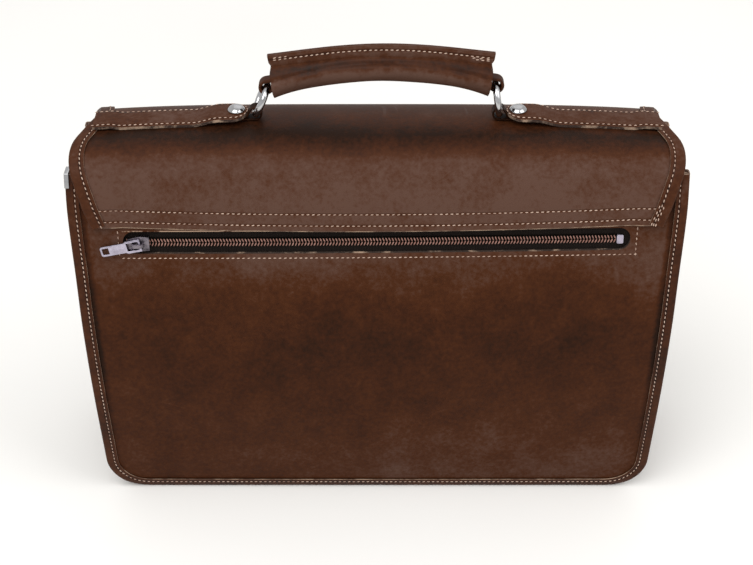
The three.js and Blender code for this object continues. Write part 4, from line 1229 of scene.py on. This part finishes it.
@dataclass
class CaseBody:
    """Panels, gusset and edge strips."""

    finishes: Finishes
    stitch_in: float = 4.6
    across_steps: int = 150
    gusset_steps: int = 24
    valley_round: float = 0.12
    ripple_depth: float = 0.5

    def build(self) -> list[Row]:
        """Builds the pieces and returns the stitch rows on them."""
        self._panel(-1, "back_leather", "back_panel")
        self._panel(1, "front_leather", "front_panel")
        self._gusset()
        return [*self._strip(-1, "back"), *self._strip(1, "front")]

    def _panel(self, side: int, name: str, node: str) -> None:
        """A panel between its outer and inner faces, with the zip's window in the back one."""
        z = np.concatenate([FORM.corner_heights(14), FORM.side_heights(side)])
        half = FORM.panel_half(z)[:, None]
        x = np.linspace(-1, 1, self.across_steps)[None, :] * half
        heights = np.broadcast_to(z[:, None], x.shape)
        depth = FORM.panel_depth(x, heights) + FORM.dents(x, heights)
        outer = np.stack([x, side * depth, heights], -1)
        inner = np.stack([x, side * (depth - FORM.panel_wall), heights], -1)
        piece = shell(name, outer, inner, [self.finishes.panel, self.finishes.raw])
        if side < 0:
            self._cut_window(piece)
        settle(piece, Slot.BODY, node)

    def _cut_window(self, piece: bpy.types.Object) -> None:
        """Cuts the zip's window, whose cut edge is raw leather."""
        radius = FORM.window_height / 2 - 0.6
        u = FORM.window_length / 2 - radius
        v = FORM.window_height / 2 - radius
        angle = np.linspace(0, math.pi / 2, 10)
        corners = [(u, v, 0), (-u, v, 1), (-u, -v, 2), (u, -v, 3)]
        arcs = []
        for middle_u, middle_v, quarter in corners:
            turned = angle + quarter * math.pi / 2
            arcs.append(np.stack([middle_u + radius * np.cos(turned), middle_v + radius * np.sin(turned)], 1))
        outline = np.concatenate(arcs)
        lean = math.atan(FORM.zip_slope)
        x = FORM.window_x + outline[:, 0] * math.cos(lean) - outline[:, 1] * math.sin(lean)
        z = FORM.zip_z + outline[:, 0] * math.sin(lean) + outline[:, 1] * math.cos(lean)
        rings = np.stack([np.stack([x, np.full_like(x, y), z], 1) for y in (-30.0, -90.0)])
        cutter = tube("window_cutter", rings, self.finishes.lip)
        cut = piece.modifiers.new("window", "BOOLEAN")
        cut.operation = "DIFFERENCE"
        cut.solver = "EXACT"
        cut.material_mode = "TRANSFER"
        cut.object = cutter
        apply_modifiers(piece)
        bpy.data.objects.remove(cutter)
        piece.data.set_sharp_from_angle(angle=math.radians(SHEET_SHARP))

    def _gusset(self) -> None:
        """The strip round the sides and the bottom, with a soft fold down each side."""
        stations = FORM.seam_stations(FORM.side_heights(1), 14, 60)
        fold = FORM.side_fold * FORM.fold(FORM.share(stations[:, 1])) - FORM.base_sag * stations[:, 3]
        place = np.linspace(-1, 1, 2 * self.gusset_steps + 1)
        valley = -np.sqrt(place**2 + self.valley_round**2)
        valley = (valley - valley[0]) / (valley[self.gusset_steps] - valley[0])
        layers = []
        for wall in (0.0, FORM.gusset_wall):
            flange = -FORM.panel_wall - FORM.clearance - (0 if wall else FORM.gusset_wall)
            inset = FORM.gusset_inset + wall
            bends = {side: FORM.seam_point(stations, side, inset, flange) for side in (-1, 1)}
            edges = {side: FORM.seam_point(stations, side, 0, flange) for side in (-1, 1)}
            columns = [edges[-1]]
            ripple = self.ripple_depth * np.sin(np.arange(len(stations)) / 5.0)
            for t, deep in zip(place, valley):
                base = bends[-1] + (bends[1] - bends[-1]) * (t + 1) / 2
                push = fold * deep + ripple * deep
                base = base + np.stack([stations[:, 2] * push, 0 * push, stations[:, 3] * push], 1)
                columns.append(base)
            columns.append(edges[1])
            layers.append(np.stack(columns, 1))
        piece = shell("gusset_leather", layers[0], layers[1], [self.finishes.panel, self.finishes.raw])
        settle(piece, Slot.BODY, "gusset")

    def _strip(self, side: int, label: str) -> list[Row]:
        """The folded strip over a panel's and the gusset's edges, and its two stitch rows."""
        stations = FORM.seam_stations(FORM.side_heights(side))
        edge_strip(
            label + "_edge_strip",
            label + "_binding",
            lambda w, n: FORM.seam_point(stations, side, w, n),
            FORM.binding_width,
            FORM.seam_stack,
            [self.finishes.seam, self.finishes.raw],
        )
        return [
            row_along(FORM.seam_point, stations, side, self.stitch_in, n=n, step=step)
            for n, step in ((FORM.strip_top, 1.0), (-FORM.seam_stack - FORM.strip_top, -1.0))
        ]


@dataclass
class Flap:
    """The flap and the strip round its edge."""

    finishes: Finishes
    tail_rows: tuple[float, float] = (4.6, 12.6)
    stitch_in: float = 5.8
    across_steps: int = 140
    step: float = 3.0
    corner_steps: int = 14
    chamfer: float = 0.9
    doubled_stations: int = 4
    doubled_insets: tuple[float, float] = (4.3, 7.2)

    def build(self) -> list[Row]:
        """Builds the pieces and returns the stitch rows on them."""
        straight = np.arange(self.step, FORM.flap_length - FORM.flap_corner, self.step)
        angle = np.linspace(0, math.pi / 2, self.corner_steps)
        corner = FORM.flap_length - FORM.flap_corner * (1 - np.sin(angle))
        at = np.concatenate([[0.0, self.chamfer], straight, corner])
        x = np.linspace(-1, 1, self.across_steps)[None, :] * FORM.flap_half(at)[:, None]
        along = np.broadcast_to(at[:, None], x.shape)
        chamfer = np.where(along < 0.5, self.chamfer, 0.0)
        outer = FORM.flap_point(x, along, -chamfer)
        inner = FORM.flap_point(x, along, -FORM.flap_wall)
        piece = shell("flap_leather", outer, inner, [self.finishes.flap, self.finishes.raw], along)
        for face in piece.data.polygons[: self.across_steps - 1]:
            face.material_index = 1
        settle(piece, Slot.BODY, "flap")
        return [*self._strip(), *self._tail_stitches()]

    def _strip(self) -> list[Row]:
        """The folded strip round the flap's edge, and its stitch rows."""
        stations = FORM.flap_stations()
        edge_strip(
            "flap_edge_strip",
            "flap_binding",
            lambda w, n: FORM.flap_edge_point(stations, np.full(len(stations), w), n),
            FORM.flap_binding_width,
            FORM.flap_wall,
            [self.finishes.flap_seam, self.finishes.raw],
        )
        right_end = stations[-self.doubled_stations :]
        lines = [(stations, self.stitch_in), *((right_end, inset) for inset in self.doubled_insets)]
        return [
            row_along(FORM.flap_edge_point, line, np.full(len(line), inset), n=FORM.strip_top)
            for line, inset in lines
        ]

    def _tail_stitches(self) -> list[Row]:
        """Two rows that hold the tail to the back."""
        rows = []
        for at in self.tail_rows:
            half = float(FORM.flap_half(at)) - FORM.flap_binding_width - 1
            x = np.linspace(-half, half, 160)
            rows.append(row_along(FORM.flap_point, x, at))
        return rows


@dataclass
class ZipPocket:
    """Tape, coil, slider, pull and stop in the back panel's window."""

    finishes: Finishes
    repeats: RepeatTree
    tape_margin: float = 4.0
    tape_wall: float = 0.8
    coil_width: float = 6.5
    coil_thickness: float = 2.2
    stop_length: float = 4.5
    tooth_pitch: float = 2.05
    tooth_slant: float = 0.42
    stitch_left: float = 3.0
    stitch_right: float = 4.2
    stitch_below: float = 3.4
    tooth_offset: float = 0.215
    tooth_reach: float = 0.5
    tooth_width: float = 1.05
    tooth_height: float = 1.3

    def build(self) -> list[Row]:
        """Builds the pieces and returns the stitch rows round the window."""
        top = -FORM.panel_wall - FORM.clearance
        coil_top = top + FORM.clearance + self.coil_thickness
        self._tape(top)
        self._coil(coil_top)
        for node, name, bevel, body, finish in (
            ("zip_slider", "zip_slider_metal", 0.35, Body.CASE, self.finishes.slider),
            ("zip_end_stop", "zip_stop_metal", 0.3, Body.CASE, self.finishes.zip_metal),
            ("zip_pull", "zip_pull_metal", 0.3, Body.PULL, self.finishes.zip_metal),
        ):
            settle(refined_node(node, name, bevel, finish), Slot.ZIP_METAL, node, body=body)
        return self._stitches()

    def _strip(
        self,
        name: str,
        ends: tuple[float, float],
        half: float,
        n: tuple[float, float],
        finish: bpy.types.Material,
    ) -> bpy.types.Object:
        """A flat strip along the zip."""
        x = np.linspace(*ends, 120)[:, None]
        v = np.linspace(-half, half, 7)[None, :]
        return shell(name, FORM.zip_point(x, v, n[0]), FORM.zip_point(x, v, n[1]), [finish])

    def _tape(self, top: float) -> None:
        """The woven tape behind the window."""
        ends = (FORM.window_left - self.tape_margin, FORM.window_right + self.tape_margin)
        half = FORM.window_height / 2 + self.tape_margin
        piece = self._strip("zip_tape_woven", ends, half, (top, top - self.tape_wall), self.finishes.tape)
        settle(piece, Slot.TAPE, "zip_tape")

    def _coil(self, coil_top: float) -> None:
        """A low core, and two slanting rows of teeth that meet in the middle."""
        ends = (FORM.window_left + 2, FORM.window_right - 2 * self.stop_length - FORM.clearance)
        low = coil_top - self.coil_thickness
        depths = (coil_top - self.tooth_height, low + 0.05)
        core = self._strip("zip_coil_core", ends, self.coil_width / 2 - 0.5, depths, self.finishes.coil_core)
        settle(core, Slot.COIL, "zip_coil")
        x = np.linspace(ends[0] + 1, ends[1] - 1, 200)
        for side in (-1, 1):
            v = side * self.coil_width * self.tooth_offset
            line = row_on(FORM.zip_point(x, v, coil_top - 0.65), FORM.zip_point(x, v, coil_top + 0.35))
            sizes = {
                "Pitch": self.tooth_pitch,
                "Length": self.coil_width * self.tooth_reach,
                "Width": self.tooth_width,
                "Height": self.tooth_height,
                "Lift": 0.0,
                "Turn": math.pi / 2 + side * self.tooth_slant,
                "Unevenness": 0.15,
            }
            name = "zip_teeth_upper" if side > 0 else "zip_teeth_lower"
            settle(self.repeats.run(name, [line], self.finishes.coil, sizes), Slot.COIL)

    def _stitches(self) -> list[Row]:
        """The row round the window, open under the flap's tail."""
        left, right = FORM.window_left - self.stitch_left, FORM.window_right + self.stitch_right
        low, high = -FORM.window_height / 2 - self.stitch_below, FORM.window_height / 2 - 0.5
        sides = (
            (np.full(20, left), np.linspace(high, low + 3, 20)),
            (np.linspace(left + 2.5, right, 200), np.full(200, low)),
            (np.full(20, right), np.linspace(low, high, 20)),
        )
        return [row_along(FORM.zip_point, x, v) for x, v in sides]


@dataclass
class Fittings:
    """Crest straps, tabs, rivets, rings and metal trims."""

    finishes: Finishes
    strap_width: float = 20.5
    strap_wall: float = 2.5
    strap_stitch: float = 8.7
    ring_x: float = 80.4
    rivet_x: float = 93.0
    rivet_diameter: float = 11.5
    rivet_dome: float = 3.2
    tab_wall: float = 1.4
    tab_width: float = 8.0
    tab_tail: float = 21.0
    wire: float = 4.6
    ring_diameter: float = 21.0
    tilts: tuple[float, float] = (24.0, 9.0)
    edge_round: float = 0.45

    def __post_init__(self) -> None:
        """Works out the eyes and where the straps start."""
        radius = self.ring_diameter / 2
        curve = radius - math.sqrt(radius**2 - (self.tab_width / 2) ** 2)
        self.eye = self.wire / 2 + curve + FORM.clearance
        self.strap_start = self.ring_x + self.eye + self.tab_wall + FORM.soft_clearance
        self.ring_z = FORM.crest_height + FORM.clearance + self.eye + self.tab_wall
        self.crest_half = float(FORM.flap_half(FORM.crest_at))
        self.tab_raise = 2 * self.tab_wall + FORM.clearance + self.tab_width**2 / FORM.depth

    def ring_top(self, side: int) -> tuple[float, float]:
        """The x and z of the top of a ring's centre line."""
        tilt = math.radians(self.tilts[0 if side < 0 else 1])
        x = side * (self.ring_x - self.ring_diameter * math.sin(tilt))
        return x, self.ring_z + self.ring_diameter * math.cos(tilt)

    def build(self) -> list[Row]:
        """Builds the pieces on both sides and returns the stitch rows on the straps."""
        rows: list[Row] = []
        for side, label in ((-1, "left"), (1, "right")):
            rows += self._strap(side, label)
            self._tab(side, label)
            self._rivet(side, label)
            self._ring(side, label)
        for node, bevel in (("seam_clip", 0.25), ("front_clasp", 0.7)):
            settle(refined_node(node, node + "_metal", bevel, self.finishes.bright), Slot.BRIGHT, node)
        return rows

    def _rise(self, x: Points) -> Points:
        """How far a strap's underside lies above the flap."""
        tab_end = self.ring_x + self.tab_tail
        edge = self.crest_half - FORM.flap_binding_width
        over_tab = self.tab_raise * (1 - smoothstep(x, tab_end + 2, tab_end + self.tab_tail))
        over_edge = FORM.strip_top * smoothstep(x, edge - 14, edge - 5)
        return FORM.clearance + over_tab + over_edge

    def _strap(self, side: int, label: str) -> list[Row]:
        """A strap along the crest with a round end by the ring, and its stitch rows."""
        radius = self.strap_width / 2
        start = self.strap_start + radius
        angle = np.radians(np.linspace(8, 90, 16))
        straight = np.linspace(start, self.crest_half - 3, 70)[1:]
        x = np.concatenate([self.strap_start + radius * (1 - np.cos(angle)), straight])
        half = np.concatenate([radius * np.sin(angle), np.full(len(straight), radius)])
        share = np.array([-1, -0.97, -0.85, -0.6, -0.3, 0, 0.3, 0.6, 0.85, 0.97, 1])
        at = FORM.crest_at + share[None, :] * half[:, None]
        wide = np.broadcast_to(side * x[:, None], at.shape)
        rise = np.broadcast_to(self._rise(x)[:, None], at.shape)
        edge = self.edge_round * np.clip((np.abs(share) - 0.85) / 0.15, 0, 1) ** 2
        top = FORM.flap_point(wide, at, rise + self.strap_wall - edge[None, :])
        under = FORM.flap_point(wide, at, rise)
        row = np.abs(at - FORM.crest_at)
        materials = [self.finishes.strap, self.finishes.strap_edge]
        piece = shell("crest_strap_" + label, top, under, materials, row)
        settle(piece, Slot.EDGE, "top_strap_" + label)
        inset = self.strap_stitch / radius
        n = self._rise(x) + self.strap_wall
        return [
            row_along(FORM.flap_point, side * x, FORM.crest_at + line_side * inset * half, n=n)
            for line_side in (-1, 1)
        ]

    def _tab(self, side: int, label: str) -> None:
        """A leather tab folded round the ring, its two layers under the strap."""
        radius = self.eye + self.tab_wall / 2
        upper = FORM.crest_height + FORM.clearance + 1.5 * self.tab_wall - self.ring_z
        lower = -radius
        turn = [(radius * math.cos(a), radius * math.sin(a)) for a in np.radians(np.arange(20, 271, 25))]
        over = [(self.tab_tail, upper), (12, upper), (6.4, upper + 0.5)]
        points = [*over, *turn, (5, lower), (12, lower), (self.tab_tail, lower)]
        path = smooth_path(points, 70) * np.array([side, 1]) + np.array([side * self.ring_x, self.ring_z])
        rings = ribbon_rings(path, np.full(len(path), self.tab_width), self.tab_wall * 0.97)
        settle(tube("ring_loop_" + label, rings, self.finishes.tab), Slot.EDGE, "ring_tab_" + label)

    def _rivet(self, side: int, label: str) -> None:
        """A domed rivet with a low rim."""
        radius = self.rivet_diameter / 2
        r = np.array([0.0, 0.9, 1.0, 1.0, 0.96, 0.9, 0.82, 0.7, 0.55, 0.38, 0.2, 0.06]) * radius
        z = np.array([0.0, 0.0, 0.08, 0.24, 0.33, 0.45, 0.62, 0.78, 0.89, 0.96, 0.99, 1.0]) * self.rivet_dome
        n = float(self._rise(self.rivet_x)) + self.strap_wall + FORM.clearance - 0.2
        seat = FORM.flap_point(side * self.rivet_x, FORM.crest_at, n)
        angle = full_turn(48)[None, :]
        reach = np.maximum(r, 0.02)[:, None]
        x, y = reach * np.cos(angle), reach * np.sin(angle)
        rings = np.stack([x, y, np.broadcast_to(z[:, None], x.shape)], -1)
        piece = tube("rivet_dome_" + label, rings + np.asarray(seat), self.finishes.bright)
        settle(piece, Slot.BRIGHT, "rivet_" + label)

    def _ring(self, side: int, label: str) -> None:
        """A round ring of thick wire, tilted towards the handle."""
        tilt = math.radians(self.tilts[0 if side < 0 else 1])
        radius = self.ring_diameter / 2
        turn = full_turn(96)
        section = full_turn(20)
        reach = radius + self.wire / 2 * np.cos(section)[None, :]
        y = reach * np.sin(turn)[:, None]
        tall = radius - reach * np.cos(turn)[:, None]
        x = np.broadcast_to(self.wire / 2 * np.sin(section)[None, :], y.shape)
        along = x * math.cos(tilt) - side * tall * math.sin(tilt)
        up = tall * math.cos(tilt) + side * x * math.sin(tilt)
        rings = np.stack([side * self.ring_x + along, y, self.ring_z + up], -1)
        piece = tube("ring_wire_" + label, rings, self.finishes.bright, True)
        settle(piece, Slot.BRIGHT, "ring_" + label)


@dataclass
class Handle:
    """The grip folded round a strap that loops through both rings."""

    finishes: Finishes
    fittings: Fittings
    setback: float = 3.5
    radius: float = 8.5
    flare: float = 2.3
    arch: float = 9.0
    rise: float = 3.4
    wall: float = 1.6
    fin: float = 8.2
    slit: float = 0.4
    strap_width: float = 11.6
    eye_wall: float = 2.4
    stitch_down: float = 3.2
    lean: float = 0.14
    notch: float = 1.4
    fin_steps: int = 7
    arc_steps: int = 49
    crease_depth: float = 0.13
    crease_spread: float = 0.17
    wave_depth: float = 0.02
    loop_width: float = 8.0
    core_wall: float = 2.1
    core_half: float = 1.1
    press: float = 0.05
    pinch: float = 0.93
    fin_taper: float = 0.22
    along_steps: int = 81

    def build(self) -> list[Row]:
        """Builds the pieces and returns the stitch rows on the fin."""
        self.left = self.fittings.ring_top(-1)
        self.right = self.fittings.ring_top(1)
        self._grip()
        self._strap()
        return self._stitches()

    def place(self, share: Points) -> tuple[Points, Points, Points]:
        """The grip's centre line x and z, and its radius, for shares from its left end to its right."""
        left, right = self.left[0] + self.setback, self.right[0] - self.setback
        arch = 1 - (2 * share - 1) ** 2
        z = self.left[1] + (self.right[1] - self.left[1]) * share + self.rise + self.arch * arch
        return left + (right - left) * share, z, self.radius + self.flare * (2 * share - 1) ** 4

    def _section(self, share: float, inside: bool) -> Points:
        """The grip's section: up one side of the fin, round the strap and up the other side."""
        x, z, radius = (float(v) for v in self.place(np.array(share)))
        round_radius = radius - (self.wall if inside else 0)
        side = self.slit / 2 + (0 if inside else self.wall)
        neck = math.asin(side / round_radius)
        angle = np.linspace(math.pi / 2 + neck, math.pi * 2.5 - neck, self.arc_steps)
        from_top = math.pi - np.abs(angle - 1.5 * math.pi)
        middle = 1 - (2 * share - 1) ** 2
        crease_at = (from_top - 1.25 + 0.5 * middle) / self.crease_spread
        crease = self.crease_depth * np.exp(-(crease_at**2)) * (not inside)
        wave = self.wave_depth * np.sin(5 * share * math.pi + 3 * angle) * (not inside)
        round_radius = round_radius * (1 - crease - wave)
        press = 1 - self.press * np.cos(2 * angle)
        y, up = round_radius * np.cos(angle), z + round_radius * np.sin(angle) * press
        top = z + radius + self.fin
        heights = np.linspace(top, up[0], self.fin_steps + 1)[:-1]
        narrow = side * (1 - self.fin_taper * ((heights - up[0]) / (top - up[0])) ** 6 * (not inside))
        if not inside:
            y[1:5] *= self.pinch
            y[-5:-1] *= self.pinch
        left = np.stack([np.full(self.fin_steps, x), -narrow, heights], 1)
        arc = np.stack([np.full(self.arc_steps, x), y, up], 1)
        right = (left * np.array([1, -1, 1]))[::-1]
        section = np.concatenate([left, arc, right])
        section[:, 0] += self.lean * (2 * share - 1) * (section[:, 2] - z)
        neck_in = self.notch * np.exp(-(((section[:, 2] - z - radius - 0.6) / 1.7) ** 2))
        section[:, 0] -= neck_in * np.sign(2 * share - 1) * np.abs(2 * share - 1) ** 12
        return section

    def _grip(self) -> None:
        """The folded leather of the grip."""
        shares = np.linspace(0, 1, self.along_steps)
        outer, inner = (
            np.stack([self._section(share, inside) for share in shares]) for inside in (False, True)
        )
        down = np.arange(self.fin_steps) * self.fin / self.fin_steps
        around = self.fin + (self.radius * math.pi) * (1 - np.abs(np.linspace(-1, 1, self.arc_steps)))
        row = np.concatenate([down, around, down[::-1]])
        row = np.broadcast_to(row[None, :], outer.shape[:2])
        piece = shell("grip_leather", outer, inner, [self.finishes.handle], row)
        settle(piece, Slot.HANDLE, "handle_grip")

    def _strap(self) -> None:
        """The strap in the grip and the loops round the rings, as one closed band."""
        radius = self.fittings.eye + self.eye_wall / 2
        around = np.radians(np.arange(100, 261, 20))
        out, up = radius * np.cos(around), radius * np.sin(around)
        shares = np.linspace(0.06, 0.94, 24)
        x, z, _ = self.place(shares)
        turn_left = list(zip(self.left[0] + out, self.left[1] + up))
        turn_right = list(zip(self.right[0] - out, self.right[1] + up))
        upper = list(zip(x, z + self.core_half))
        lower = list(zip(x, z - self.core_half))
        loop = [*upper[::-1], *turn_left, *lower, *turn_right[::-1]]
        path = smooth_path([*loop, loop[0]], 301)[:-1]
        to_ring = np.minimum(np.abs(path[:, 0] - self.left[0]), np.abs(path[:, 0] - self.right[0]))
        width = self.loop_width + (self.strap_width - self.loop_width) * smoothstep(to_ring, 4, 12)
        piece = tube("handle_strap", ribbon_rings(path, width, self.core_wall), self.finishes.loop, True)
        settle(piece, Slot.HANDLE, "handle_core")

    def _stitches(self) -> list[Row]:
        """A row on each side of the fin."""
        shares = np.linspace(0.015, 0.985, 120)
        x, z, radius = self.place(shares)
        height = z + radius + self.fin - self.stitch_down
        rows = []
        for side in (-1, 1):
            face = side * (self.slit / 2 + self.wall)
            line = np.stack([x, np.full_like(x, face), height], 1)
            parts = [line]
            for part, drop in ((line[:7], -1.5), (line[-9:], 1.1), (line[-7:], 2.1)):
                parts.append(part - np.array([0, 0, drop]))
            for part in parts:
                rows.append(row_on(part, part + np.array([0, side, 0])))
        return rows


@dataclass
class Studio:
    """Pale floor, soft lights and the camera."""

    finishes: Finishes
    camera_place: tuple[float, float, float] = (-0.0005, -0.878, 0.771)
    pitch: float = 35.5
    focal_pixels: float = 1500.0
    picture_width: float = 753.0
    floor_half: float = 6.0

    def build(self) -> None:
        """Builds the studio."""
        self._floor()
        self._light("key", (-0.7, -1.2, 2.3), (0.0, 0.0, 0.15), 1.8, 41.0)
        self._light("fill", (1.5, -0.7, 1.7), (0.0, 0.0, 0.15), 1.4, 16.0)
        self._light("rim", (0.2, 1.6, 1.9), (0.0, 0.0, 0.2), 1.6, 3.0)
        world = bpy.data.worlds.new("studio")
        world.use_nodes = True
        background = world.node_tree.nodes["Background"]
        background.inputs[0].default_value = (1.0, 1.0, 1.0, 1)
        background.inputs[1].default_value = 0.75
        bpy.context.scene.world = world
        bpy.context.scene.view_settings.view_transform = "Standard"
        self._camera()

    def _floor(self) -> None:
        """A wide pale floor."""
        h = self.floor_half
        mesh = bpy.data.meshes.new("floor")
        mesh.from_pydata([(-h, -h, 0), (h, -h, 0), (h, h, 0), (-h, h, 0)], [], [(0, 1, 2, 3)])
        mesh.materials.append(self.finishes.ground)
        add_piece("floor", mesh)

    def _light(
        self, name: str, place: Sequence[float], target: Sequence[float], size: float, power: float
    ) -> None:
        """A square area light that faces its target.

        Args:
            name: Its name.
            place: Where it stands, in metres.
            target: The point that it faces.
            size: Its side in metres.
            power: Its power in watts.
        """
        data = bpy.data.lights.new(name, "AREA")
        data.size = size
        data.energy = power
        light = bpy.data.objects.new(name, data)
        away = np.asarray(place, float) - np.asarray(target, float)
        light.location = place
        light.rotation_euler = (
            math.acos(away[2] / float(np.linalg.norm(away))), 0, math.atan2(away[1], away[0]) + math.pi / 2
        )
        bpy.context.scene.collection.objects.link(light)

    def _camera(self) -> None:
        """The camera that looks down on the back."""
        data = bpy.data.cameras.new("camera")
        data.sensor_width = 36.0
        data.lens = self.focal_pixels * data.sensor_width / self.picture_width
        camera = bpy.data.objects.new("camera", data)
        camera.location = self.camera_place
        camera.rotation_euler = (math.radians(90 - self.pitch), 0, 0)
        bpy.context.scene.collection.objects.link(camera)
        bpy.context.scene.camera = camera


def main() -> None:
    """Builds the case piece by piece, then the studio."""
    logging.basicConfig(level=logging.INFO, format="%(message)s")
    finishes = Finishes()
    repeats = RepeatTree()
    fittings = Fittings(finishes)
    rows = CaseBody(finishes).build()
    rows += Flap(finishes).build()
    rows += ZipPocket(finishes, repeats).build()
    rows += fittings.build()
    rows += Handle(finishes, fittings).build()
    settle(repeats.run("stitches", rows, finishes.thread, STITCH), Slot.EDGE)
    Studio(finishes).build()


if __name__ == "__main__":
    main()
